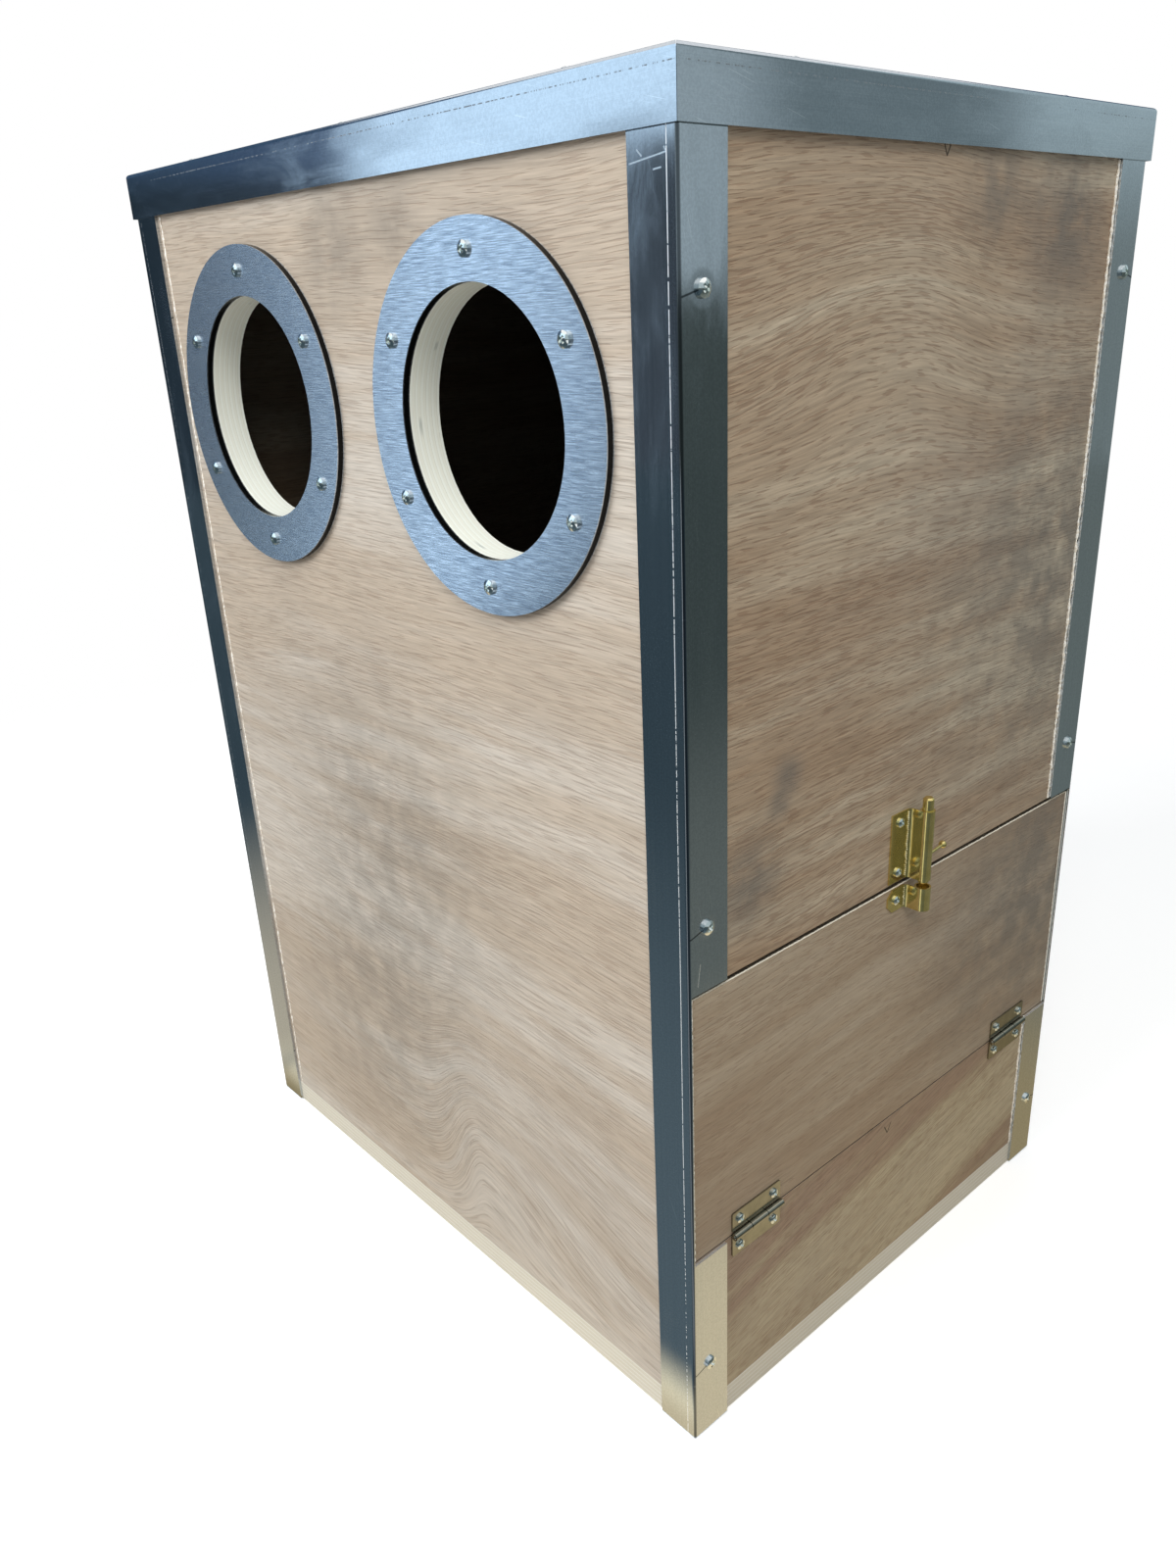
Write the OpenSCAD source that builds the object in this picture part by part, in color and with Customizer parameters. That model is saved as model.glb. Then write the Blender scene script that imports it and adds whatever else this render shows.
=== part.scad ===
// Cockatoo nest box: a plywood box bound with folded aluminium angles and top trims, with two
// round entries under composite rings and a bottom-hinged inspection door held by a rolled bolt.
// The origin is the centre of the base. +Z is up, -Y is the front and +X is the door side.

/* [Plywood box] */
// Width of the plywood box across the front
box_w = 450; // [432:1:500]
// Depth of the plywood box, front to back
box_d = 342; // [325:1:400]
// Height from the base to the top of the trim
box_h = 650; // [630:1:740]
// Thickness of every plywood panel
ply_t = 17; // [15:0.5:19]

/* [Inspection door] */
// Height of the fixed panel below the door, from the base
sill_h = 120.8; // [100:0.2:150]
// Height of the door panel
door_h = 153.6; // [140:0.2:180]
// Gap between the sill and the door
sill_gap = 0.8; // [0.4:0.1:1.5]
// Gap between the door and the panel above it
door_top_gap = 3; // [2:0.1:5]
// Gap at the front and rear edges of the door
door_side_gap = 0.5; // [0.3:0.1:2]

/* [Aluminium angles and trims] */
// Thickness of the folded aluminium sheet
alu_t = 1.6; // [1.2:0.1:2]
// Outside radius of the folds
fold_r = 2; // [2:0.1:3]
// Leg width of the corner angles
angle_leg = 25.5; // [22:0.5:32]
// Setback of the cut leg below the top of the sill
angle_setback = 0.6; // [0:0.1:2]
// Drop of the top trims over the walls
trim_drop = 23.8; // [21:0.2:32]
// Width of the top trims over the roof
trim_w = 25.4; // [22:0.2:34]
// Gap between two trims at a mitre
mitre_gap = 0.15; // [0.1:0.05:0.5]

/* [Entries] */
// Diameter of the entry holes
entry_d = 118; // [90:1:124]
// Distance between the centres of the entries
entry_spacing = 206.7; // [190:0.1:230]
// Distance from the top of the box down to the entry centres
entry_drop = 128.2; // [115:0.2:180]
// Width of the entry rings' land round the hole
ring_land = 25.5; // [20:0.5:28]
// Thickness of the composite sheet of the rings
ring_t = 4; // [3:0.5:6]
// Distance of the ring screws from the edge of the entry
ring_screw_inset = 12.7; // [9:0.1:14]
// Number of screws in each ring
ring_screws = 6; // [4:1:8]

/* [Hinges] */
// Length of each hinge along its pin
hinge_len = 38; // [32:1:50]
// Width of one hinge leaf, from the pin's centre
leaf_w = 14; // [12:0.5:18]
// Thickness of the hinge leaves
leaf_t = 1; // [0.8:0.1:1.2]
// Outside radius of the rolled knuckles
knuckle_r = 2.1; // [2:0.1:2.6]
// Radius of the hinge pins
pin_r = 1.1; // [0.9:0.05:1.1]
// Radial clearance of a pin in its knuckles
pin_clear = 0.05; // [0.02:0.01:0.1]
// Gap between neighbouring knuckles
knuckle_gap = 0.4; // [0.3:0.1:0.8]
// Distance of each hinge's centre from its end of the door
hinge_inset = 47.2; // [45:0.1:80]
// Distance between the screws of one leaf
leaf_screw_spacing = 26.6; // [20:0.2:27]
// Distance of the leaf screws from the pin's centre
leaf_screw_offset = 8.7; // [7:0.1:9]

/* [Bolt] */
// Height of the bolt plate
bolt_plate_h = 40; // [34:1:60]
// Thickness of the rolled brass sheet
brass_t = 0.9; // [0.7:0.1:1]
// Radius of the sliding rod
rod_r = 2.95; // [2.5:0.05:3.2]
// Radial clearance of the rod in its barrel
rod_clear = 0.05; // [0.02:0.01:0.1]
// Length of the sliding rod
rod_len = 49.5; // [46:0.5:60]
// Chamfer at the ends of the rod
rod_chamfer = 0.9; // [0.3:0.1:1.5]
// Height of the rod's axis above the plywood
rod_stand = 9; // [8:0.1:12]
// Width of the bolt plate from its outer edge to the rod's axis
plate_reach = 19.6; // [18:0.1:26]
// Inner radius of the bend between plate and riser
bolt_bend_r = 2.4; // [1.5:0.1:3]
// Gap between the lower edge of the plate and the lower edge of its panel
plate_lift = 1.1; // [0.5:0.1:4]
// Distance between the two plate screws
plate_screw_spacing = 28.8; // [24:0.2:30]
// Distance of the plate screws from the rod's axis
plate_screw_offset = 12.5; // [12:0.1:14]
// Lower end of the knob's slot above the plate's lower edge
slot_start = 4.7; // [3:0.1:6]
// Length of the knob's slot
slot_len = 17; // [14:0.5:20]
// Height of the knob above the slot's lower end with the bolt drawn
knob_rise = 8; // [7:0.1:9]
// Length of the knob from the rod's axis to the ball's centre
knob_reach = 20; // [15:0.5:24]
// Radius of the knob's stem
knob_stem_r = 0.9; // [0.7:0.05:1]
// Radius of the knob's ball
knob_ball_r = 2.2; // [1.8:0.1:3]
// Height of the rod's lower end above the top of the door with the bolt drawn
rod_lift = 1.8; // [1.6:0.1:2.2]
// Height of the keeper
keeper_h = 13.4; // [11:0.2:18]
// Radial clearance of the rod in the keeper
keeper_clear = 0.6; // [0.3:0.05:0.9]
// Distance of the keeper's upper edge below the top of the door
keeper_drop = 0.3; // [0.3:0.1:3]

/* [Screws] */
// Head diameter of the larger pan-head screws
head_d = 7; // [6:0.1:8]
// Head height of the larger screws
head_h = 2.5; // [2:0.1:3]
// Shank diameter of the larger screws
shank_d = 3.4; // [3:0.1:3.8]
// Length of the corner angle screws
angle_screw_len = 32; // [26:1:40]
// Length of the ring screws
ring_screw_len = 18; // [12:1:20]
// Length of the roof and floor screws
panel_screw_len = 40; // [32:1:50]
// Head diameter of the hinge and bolt screws
small_head_d = 5.3; // [4.6:0.1:5.6]
// Head height of the hinge and bolt screws
small_head_h = 1.8; // [1.4:0.1:2.2]
// Shank diameter of the hinge and bolt screws
small_shank_d = 2.6; // [2.2:0.1:2.8]
// Length of the hinge and bolt screws
small_screw_len = 12; // [8:1:14]
// Radial clearance of every screw in its hole
screw_clear = 0.1; // [0.05:0.05:0.2]
// Distance of the angle screws from the outer corner
angle_screw_inset = 12; // [9:0.5:14]
// Height of the lowest angle screws above the base
angle_screw_low = 48; // [35:1:80]
// Height of the middle angle screws above the opening of the door
angle_screw_rise = 32.8; // [20:0.2:100]
// Distance of the highest angle screws below the top
angle_screw_high = 76; // [50:1:120]
// Distance of the outer roof and floor screws in the front and rear from the box's sides
long_screw_inset = 65; // [40:1:110]
// Distance of the roof and floor screws in the side walls from the box's front and rear
short_screw_inset = 71; // [45:1:100]

/* [Climbing cleats] */
// Number of cleats inside the front panel
cleat_count = 7; // [5:1:7]
// Length of each cleat
cleat_len = 330; // [240:5:380]
// Height of each cleat
cleat_h = 18; // [12:1:24]
// Depth of each cleat from the front panel
cleat_t = 12; // [8:1:18]
// Distance from one cleat to the next
cleat_pitch = 55; // [40:1:60]
// Height of the lowest cleat above the floor panel
cleat_start = 50; // [30:1:60]

/* [Hidden] */
CLEATS = [for (i = [1:cleat_count]) str("climbing_cleat_", i)];

// Colours, as seen on the box
PLY = [0.74, 0.60, 0.50];
ALU = [0.66, 0.69, 0.73];
RING = [0.50, 0.55, 0.62];
ZINC = [0.80, 0.82, 0.82];
BRASS = [0.80, 0.66, 0.28];
TIMBER = [0.80, 0.68, 0.50];

// Faceting of round work: large curves and small ones
$fn = 48;
LARGE_FN = 96;
// Overrun of a cutting tool past the face that it cuts
CUT = 1;

// Heights of the panels
wall_top = box_h - alu_t - ply_t;
wall_h = wall_top - ply_t;
door_z0 = sill_h + sill_gap;
door_z1 = door_z0 + door_h;
upper_z0 = door_z1 + door_top_gap;
entry_z = box_h - entry_drop;
ring_d = entry_d + 2 * ring_land;
ring_screw_r = entry_d / 2 + ring_screw_inset;

// Outer faces of the plywood, of the corner angles and of the top trims
face_x = box_w / 2;
face_y = box_d / 2;
angle_x = face_x + alu_t;
angle_y = face_y + alu_t;
trim_x = angle_x + alu_t;
trim_y = angle_y + alu_t;

// The hinge pins' line and the distance of the hinges from the middle
hinge_y = face_y - door_side_gap - hinge_inset;
pin_x = face_x + knuckle_r;
pin_z = sill_h + sill_gap / 2;

// The bolt's heights, with the bolt drawn
plate_z0 = upper_z0 + plate_lift;
slot_z0 = plate_z0 + slot_start;
knob_z = slot_z0 + knob_rise;
rod_z0 = door_z1 + rod_lift;
keeper_z1 = door_z1 - keeper_drop;
keeper_z0 = keeper_z1 - keeper_h;
rod_x = face_x + rod_stand;
// Direction of the knob round the rod, from straight out towards the rear
KNOB_TURN = 96;
// Edges of the slot round the rod, on the same scale
SLOT_TURNS = [12, 126];

// Heights of the angle screws: low, middle and high
ANGLE_SCREW_Z = [angle_screw_low, upper_z0 + angle_screw_rise, box_h - angle_screw_high];

// Centre lines of the walls, where the roof and floor screws stand
wall_mid_x = face_x - ply_t / 2;
wall_mid_y = face_y - ply_t / 2;
PANEL_SCREWS = concat(
    [for (i = [-1:1], s = [-1, 1]) [i * (face_x - long_screw_inset), s * wall_mid_y]],
    [for (i = [-1, 1], s = [-1, 1]) [s * wall_mid_x, i * (face_y - short_screw_inset)]]
);

// Points of the ring screws round one entry, the first one straight above its centre
RING_SCREW_POINTS = [for (i = [0:ring_screws - 1])
    ring_screw_r * [sin(i * 360 / ring_screws), cos(i * 360 / ring_screws)]];

// Clearance holes of the two sizes of screw
hole_r = shank_d / 2 + screw_clear;
small_hole_r = small_shank_d / 2 + screw_clear;

// Lays a shape made along +Z out of the front face
module to_front() { rotate([90, 0, 0]) children(); }

// Lays a shape made along +Z out of the right side when side is 1, or the left when it is -1
module to_side(side) { rotate([0, side * 90, 0]) children(); }

// A hole along Z from the face down to its depth
module hole_down(r, depth) { translate([0, 0, -depth]) cylinder(r = r, h = depth + CUT); }

// A rectangle with rounded corners, centred on X and standing on Y
module rounded_plate(w, h, r) {
    translate([-w / 2 + r, 0]) square([w - 2 * r, h]);
    translate([-w / 2, r]) square([w, h - 2 * r]);
    for (sx = [-1, 1], y = [r, h - r]) translate([sx * (w / 2 - r), y]) circle(r = r, $fn = 24);
}

// The section of a folded angle, outer corner at the origin, legs along +X and +Y
module angle_section(leg_x, leg_y) {
    difference() {
        union() {
            translate([fold_r, 0]) square([leg_x - fold_r, alu_t]);
            translate([0, fold_r]) square([alu_t, leg_y - fold_r]);
            translate([fold_r, fold_r]) circle(r = fold_r);
        }
        translate([alu_t, alu_t]) square([leg_x, leg_y]);
    }
}

// A pan-head screw with a cross recess, its head's underside at the origin and the head up
module pan_screw(d, h, shank, len) {
    rim_h = 0.5 * h;
    dome = h - rim_h;
    dome_r = (d * d / 4 + dome * dome) / (2 * dome);
    tip = 1.4 * shank;
    recess_l = 0.56 * d;
    recess_w = 0.16 * d;
    recess_depth = 0.6 * h;
    difference() {
        union() {
            intersection() {
                cylinder(d = d, h = h, $fn = 32);
                translate([0, 0, h - dome_r]) sphere(r = dome_r, $fn = 64);
            }
            translate([0, 0, tip - len]) cylinder(d = shank, h = len - tip, $fn = 24);
            translate([0, 0, -len]) cylinder(d1 = 0.2 * shank, d2 = shank, h = tip, $fn = 24);
        }
        for (turn = [45, 135]) rotate([0, 0, turn])
            translate([-recess_l / 2, -recess_w / 2, h - recess_depth])
                cube([recess_l, recess_w, recess_depth + CUT]);
    }
}

// A countersunk screw, its flat head's face at the origin and facing up
module flat_screw(d, shank, len) {
    sink = (d - shank) / 2;
    tip = 1.4 * shank;
    recess_l = 0.5 * d;
    recess_w = 0.16 * d;
    recess_depth = 0.7 * sink;
    difference() {
        union() {
            translate([0, 0, -sink]) cylinder(d1 = shank, d2 = d, h = sink, $fn = 32);
            translate([0, 0, tip - len]) cylinder(d = shank, h = len - tip - sink, $fn = 24);
            translate([0, 0, -len]) cylinder(d1 = 0.2 * shank, d2 = shank, h = tip, $fn = 24);
        }
        for (turn = [45, 135]) rotate([0, 0, turn])
            translate([-recess_l / 2, -recess_w / 2, -recess_depth])
                cube([recess_l, recess_w, recess_depth + CUT]);
    }
}

// Places children on the line of the angle screws at one corner, head seat at the angle's face
module at_angle_screws(sx, sy) {
    for (z = ANGLE_SCREW_Z)
        translate([sx * angle_x, sy * (angle_y - angle_screw_inset), z]) to_side(sx) children();
}

// Places children at the roof or floor screws, on the given level
module at_panel_screws(z) {
    for (p = PANEL_SCREWS) translate([p[0], p[1], z]) children();
}

// Places children at the centre of one entry, facing out of the front
module at_entry(side, y) {
    translate([side * entry_spacing / 2, y, entry_z]) to_front() children();
}

// A wall panel across the box, with the holes for the angle screws that enter its ends
module cross_wall(side) {
    difference() {
        translate([ply_t - face_x, side > 0 ? face_y - ply_t : -face_y, ply_t])
            cube([box_w - 2 * ply_t, ply_t, wall_h]);
        for (sx = [-1, 1]) at_angle_screws(sx, side) hole_down(hole_r, angle_screw_len + CUT);
        panel_screw_holes();
    }
}

// The blind holes that the roof and floor screws leave in the walls
module panel_screw_holes() {
    at_panel_screws(box_h) hole_down(hole_r, panel_screw_len + CUT);
    at_panel_screws(0) rotate([180, 0, 0]) hole_down(hole_r, panel_screw_len + CUT);
}

// A side wall panel between two heights, drilled for the angle screws
module side_wall(side, z0, z1) {
    difference() {
        translate([side > 0 ? face_x - ply_t : -face_x, -face_y, z0]) cube([ply_t, box_d, z1 - z0]);
        for (sy = [-1, 1]) at_angle_screws(side, sy) hole_down(hole_r, angle_screw_len + CUT);
        panel_screw_holes();
    }
}

module floor_panel() {
    color(PLY) difference() {
        translate([-face_x, -face_y, 0]) cube([box_w, box_d, ply_t]);
        at_panel_screws(0) rotate([180, 0, 0]) {
            hole_down(hole_r, ply_t + CUT);
            sink = (head_d - shank_d) / 2 + screw_clear;
            translate([0, 0, -sink]) cylinder(r1 = hole_r, r2 = hole_r + sink, h = sink, $fn = 32);
        }
    }
}

module roof_panel() {
    color(PLY) difference() {
        translate([-face_x, -face_y, wall_top]) cube([box_w, box_d, ply_t]);
        at_panel_screws(box_h) hole_down(hole_r, ply_t + alu_t + CUT);
    }
}

module front_panel() {
    color(PLY) difference() {
        cross_wall(-1);
        for (side = [-1, 1]) {
            at_entry(side, -face_y) round_opening(entry_d, ply_t);
            at_entry(side, -face_y) at_ring_screws() hole_down(hole_r, ring_screw_len - ring_t + CUT);
        }
    }
}

// A large round opening through a sheet that reaches down from the origin
module round_opening(d, depth) {
    translate([0, 0, -depth - CUT]) cylinder(d = d, h = depth + 2 * CUT, $fn = LARGE_FN);
}

// Places children at the screws of one ring, in the ring's own plane
module at_ring_screws() {
    for (p = RING_SCREW_POINTS) translate([p[0], p[1], 0]) children();
}

module rear_panel() { color(PLY) cross_wall(1); }

module left_side_panel() { color(PLY) side_wall(-1, ply_t, wall_top); }

module right_upper_panel() {
    color(PLY) difference() {
        side_wall(1, upper_z0, wall_top);
        at_plate_screws(face_x) hole_down(small_hole_r, small_screw_len);
    }
}

module right_lower_panel() {
    color(PLY) difference() {
        side_wall(1, ply_t, sill_h);
        for (end = [-1, 1]) at_leaf_screws(end, -1, face_x) hole_down(small_hole_r, small_screw_len);
    }
}

module door_panel() {
    color(PLY) difference() {
        translate([face_x - ply_t, door_side_gap - face_y, door_z0])
            cube([ply_t, box_d - 2 * door_side_gap, door_h]);
        for (end = [-1, 1]) at_leaf_screws(end, 1, face_x) hole_down(small_hole_r, small_screw_len);
        at_keeper_screw(face_x) hole_down(small_hole_r, small_screw_len);
    }
}

// A folded corner angle; on the door side its side leg is cut away beside the door
module corner_angle(sx, sy) {
    color(ALU) difference() {
        translate([sx * angle_x, sy * angle_y, 0])
            mirror([sx > 0 ? 1 : 0, 0, 0]) mirror([0, sy > 0 ? 1 : 0, 0]) difference() {
                linear_extrude(box_h - alu_t) angle_section(angle_leg, angle_leg);
                if (sx > 0) translate([-CUT, alu_t, sill_h - angle_setback])
                    cube([alu_t + 2 * CUT, angle_leg, upper_z0 - sill_h + angle_setback]);
            }
        at_angle_screws(sx, sy) hole_down(hole_r, alu_t + CUT);
    }
}

// One top trim along X at the front, given half its length and its outer face's distance
module trim_bar(half_len, out) {
    reach = trim_w + CUT;
    end = half_len - mitre_gap;
    intersection() {
        translate([-half_len, -out, box_h]) rotate([90, 0, 90])
            linear_extrude(2 * half_len) mirror([0, 1]) angle_section(trim_w, trim_drop);
        translate([0, -out, box_h - trim_drop - CUT]) linear_extrude(trim_drop + 2 * CUT)
            polygon([[-end - CUT, -CUT], [end + CUT, -CUT], [end - reach, reach], [reach - end, reach]]);
    }
}

// A top trim turned to its side of the box and drilled for its screws
module top_trim(turn) {
    across = turn % 180 == 0;
    color(ALU) difference() {
        rotate([0, 0, turn]) trim_bar(across ? trim_x : trim_y, across ? trim_y : trim_x);
        at_panel_screws(box_h) hole_down(hole_r, alu_t + CUT);
    }
}

// A ring of composite sheet round an entry
module entry_ring(side) {
    color(RING) at_entry(side, -face_y) difference() {
        cylinder(d = ring_d, h = ring_t, $fn = LARGE_FN);
        translate([0, 0, ring_t]) round_opening(entry_d, ring_t);
        at_ring_screws() translate([0, 0, ring_t]) hole_down(hole_r, ring_t + CUT);
    }
}

module ring_screw_set(side) {
    color(ZINC) at_entry(side, -face_y - ring_t) at_ring_screws()
        pan_screw(head_d, head_h, shank_d, ring_screw_len);
}

module angle_screw_set(sx, sy) {
    color(ZINC) at_angle_screws(sx, sy) pan_screw(head_d, head_h, shank_d, angle_screw_len);
}

module roof_screws() {
    color(ZINC) at_panel_screws(box_h) pan_screw(head_d, head_h, shank_d, panel_screw_len);
}

module floor_screws() {
    color(ZINC) at_panel_screws(0) rotate([180, 0, 0])
        flat_screw(head_d, shank_d, panel_screw_len);
}

// Places children on the screws of one leaf: end -1 front or 1 rear, wing 1 door or -1 sill
module at_leaf_screws(end, wing, x) {
    for (s = [-0.5, 0.5])
        translate([x, end * hinge_y + s * leaf_screw_spacing, pin_z + wing * leaf_screw_offset])
            to_side(1) children();
}

// One hinge leaf round the pin's line: wing 1 is the door leaf with the middle knuckle,
// wing -1 the sill leaf with the two outer ones
module hinge_leaf(wing) {
    third = hinge_len / 3;
    half_gap = knuckle_gap / 2;
    // Start and length of each knuckle along the pin
    outer = [[-hinge_len / 2, third - half_gap], [third / 2 + half_gap, third - half_gap]];
    middle = [[half_gap - third / 2, third - knuckle_gap]];
    own = wing > 0 ? middle : outer;
    others = wing > 0 ? outer : middle;
    bore_r = pin_r + pin_clear;
    difference() {
        union() {
            for (k = own) translate([0, k[0], 0]) rotate([-90, 0, 0]) cylinder(r = knuckle_r, h = k[1]);
            difference() {
                translate([-knuckle_r, 0, 0]) mirror([0, 0, wing > 0 ? 0 : 1])
                    rotate([90, 0, 90]) linear_extrude(leaf_t) rounded_plate(hinge_len, leaf_w, 1);
                // Room for the other leaf's knuckles
                for (k = others)
                    translate([-knuckle_r - CUT, k[0] - knuckle_gap, -knuckle_r - knuckle_gap])
                        cube([2 * knuckle_r, k[1] + 2 * knuckle_gap, 2 * (knuckle_r + knuckle_gap)]);
            }
        }
        // Bore for the pin
        translate([0, -hinge_len / 2 - CUT, 0]) rotate([-90, 0, 0])
            cylinder(r = bore_r, h = hinge_len + 2 * CUT);
        // Seam where the rolled end of the leaf meets its plate
        seam = 0.2;
        for (k = own) translate([leaf_t - knuckle_r, k[0] - CUT, wing > 0 ? bore_r / 2 : -knuckle_r - CUT])
            cube([seam, k[1] + 2 * CUT, knuckle_r + CUT - bore_r / 2]);
        for (s = [-0.5, 0.5])
            translate([leaf_t - knuckle_r, s * leaf_screw_spacing, wing * leaf_screw_offset])
                to_side(1) hole_down(small_hole_r, leaf_t + CUT);
    }
}

module fixed_leaf(end) { color(ZINC) translate([pin_x, end * hinge_y, pin_z]) hinge_leaf(-1); }

module door_leaf(end) { color(ZINC) translate([pin_x, end * hinge_y, pin_z]) hinge_leaf(1); }

// A hinge pin with a flared end past each outer knuckle
module hinge_pin(end) {
    stub = 0.6;
    flare = 0.3;
    color(ZINC) translate([pin_x, end * hinge_y, pin_z]) rotate([90, 0, 0]) {
        cylinder(r = pin_r, h = hinge_len, center = true);
        for (side = [0, 1]) mirror([0, 0, side])
            translate([0, 0, hinge_len / 2]) cylinder(r1 = pin_r + flare, r2 = pin_r - flare, h = stub);
    }
}

module leaf_screws(end, wing) {
    color(ZINC) at_leaf_screws(end, wing, face_x + leaf_t)
        pan_screw(small_head_d, small_head_h, small_shank_d, small_screw_len);
}

// The section of a sheet that lies flat, bends up as a riser and rolls round the rod's axis
module rolled_section(bore_r, reach) {
    roll_r = bore_r + brass_t;
    bend_x = brass_t + bolt_bend_r;
    bend_y = -roll_r - bolt_bend_r;
    seam = 0.3;
    difference() {
        union() {
            translate([rod_stand, 0]) circle(r = roll_r);
            translate([bend_x, -roll_r]) square([rod_stand - bend_x, brass_t]);
            translate([0, -reach]) square([brass_t, reach + bend_y]);
            intersection() {
                translate([bend_x, bend_y]) difference() {
                    circle(r = bolt_bend_r + brass_t);
                    circle(r = bolt_bend_r);
                }
                translate([0, bend_y]) square([bend_x, bolt_bend_r + brass_t]);
            }
        }
        translate([rod_stand, 0]) circle(r = bore_r);
        translate([rod_stand - roll_r, -bore_r]) square([roll_r, seam]);
    }
}

// Places children on the plate's two screws, head seat at the given distance out
module at_plate_screws(x) {
    for (s = [-0.5, 0.5])
        translate([x, -plate_screw_offset, plate_z0 + bolt_plate_h / 2 + s * plate_screw_spacing])
            to_side(1) children();
}

module at_keeper_screw(x) {
    translate([x, -plate_screw_offset, (keeper_z0 + keeper_z1) / 2]) to_side(1) children();
}

// The bolt's plate and barrel, rolled from one sheet, with the slot for the knob
module bolt_barrel() {
    far = 2 * (rod_r + brass_t);
    color(BRASS) difference() {
        translate([face_x, 0, plate_z0]) linear_extrude(bolt_plate_h)
            rolled_section(rod_r + rod_clear, plate_reach);
        translate([rod_x, 0, slot_z0]) linear_extrude(slot_len)
            polygon([[0, 0], far * [cos(SLOT_TURNS[0]), sin(SLOT_TURNS[0])], [far, far],
                     far * [cos(SLOT_TURNS[1]), sin(SLOT_TURNS[1])]]);
        at_plate_screws(face_x + brass_t) hole_down(small_hole_r, brass_t + CUT);
    }
}

// The keeper on the door, rolled like the barrel, with the corners of its tab cut off
module bolt_keeper() {
    corner = 0.22 * keeper_h;
    tab_y = -plate_reach;
    color(BRASS) difference() {
        translate([face_x, 0, keeper_z0]) linear_extrude(keeper_h)
            rolled_section(rod_r + keeper_clear, plate_reach);
        for (z = [keeper_z0, keeper_z1])
            translate([face_x - CUT, tab_y, z]) rotate([45, 0, 0])
                translate([0, -corner, -corner]) cube([brass_t + 2 * CUT, 2 * corner, 2 * corner]);
        at_keeper_screw(face_x + brass_t) hole_down(small_hole_r, brass_t + CUT);
    }
}

// The sliding rod, chamfered at both ends and drilled across for the knob
module bolt_rod() {
    end_r = rod_r - rod_chamfer;
    straight = rod_len - 2 * rod_chamfer;
    color(BRASS) difference() {
        translate([rod_x, 0, rod_z0]) {
            cylinder(r1 = end_r, r2 = rod_r, h = rod_chamfer);
            translate([0, 0, rod_chamfer]) cylinder(r = rod_r, h = straight);
            translate([0, 0, rod_chamfer + straight]) cylinder(r1 = rod_r, r2 = end_r, h = rod_chamfer);
        }
        at_knob() cylinder(r = knob_stem_r + rod_clear, h = rod_r + CUT, $fn = 24);
    }
}

// Places children on the knob's line, from the rod's axis outwards
module at_knob() { translate([rod_x, 0, knob_z]) rotate([0, 90, KNOB_TURN]) children(); }

module bolt_knob() {
    color(BRASS) at_knob() {
        cylinder(r = knob_stem_r, h = knob_reach, $fn = 24);
        translate([0, 0, knob_reach]) sphere(r = knob_ball_r, $fn = 32);
    }
}

module bolt_screws() {
    color(ZINC) at_plate_screws(face_x + brass_t)
        pan_screw(small_head_d, small_head_h, small_shank_d, small_screw_len);
}

module keeper_screw() {
    color(ZINC) at_keeper_screw(face_x + brass_t)
        pan_screw(small_head_d, small_head_h, small_shank_d, small_screw_len);
}

// One climbing cleat across the inside of the front panel, its upper edge sloped for the claws
module climbing_cleat(i) {
    slope = cleat_t / 4;
    color(TIMBER)
        translate([-cleat_len / 2, ply_t - face_y, ply_t + cleat_start + (i - 1) * cleat_pitch])
            rotate([90, 0, 90]) linear_extrude(cleat_len)
                polygon([[0, 0], [cleat_t, 0], [cleat_t, cleat_h], [0, cleat_h - slope]]);
}

floor_panel();
front_panel();
rear_panel();
left_side_panel();
right_upper_panel();
right_lower_panel();
roof_panel();
door_panel();
corner_angle(-1, -1);  // corner_angle_front_left
corner_angle(1, -1);  // corner_angle_front_right
corner_angle(-1, 1);  // corner_angle_rear_left
corner_angle(1, 1);  // corner_angle_rear_right
top_trim(0);  // top_trim_front
top_trim(90);  // top_trim_right
top_trim(180);  // top_trim_rear
top_trim(270);  // top_trim_left
entry_ring(-1);  // entry_ring_left
entry_ring(1);  // entry_ring_right
ring_screw_set(-1);  // ring_screws_left
ring_screw_set(1);  // ring_screws_right
angle_screw_set(-1, -1);  // angle_screws_front_left
angle_screw_set(1, -1);  // angle_screws_front_right
angle_screw_set(-1, 1);  // angle_screws_rear_left
angle_screw_set(1, 1);  // angle_screws_rear_right
roof_screws();
floor_screws();
fixed_leaf(-1);  // hinge_front_fixed_leaf
door_leaf(-1);  // hinge_front_door_leaf
hinge_pin(-1);  // hinge_front_pin
fixed_leaf(1);  // hinge_rear_fixed_leaf
door_leaf(1);  // hinge_rear_door_leaf
hinge_pin(1);  // hinge_rear_pin
leaf_screws(-1, -1);  // hinge_front_fixed_screws
leaf_screws(-1, 1);  // hinge_front_door_screws
leaf_screws(1, -1);  // hinge_rear_fixed_screws
leaf_screws(1, 1);  // hinge_rear_door_screws
bolt_barrel();
bolt_rod();
bolt_knob();
bolt_screws();
bolt_keeper();
keeper_screw();
for (i = [1:cleat_count]) climbing_cleat(i);
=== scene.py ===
"""Looks of the cockatoo nest box: veneered plywood, folded aluminium, zinc and brass hardware."""

import math
import random

import bpy
from mathutils import Matrix, Vector


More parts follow.
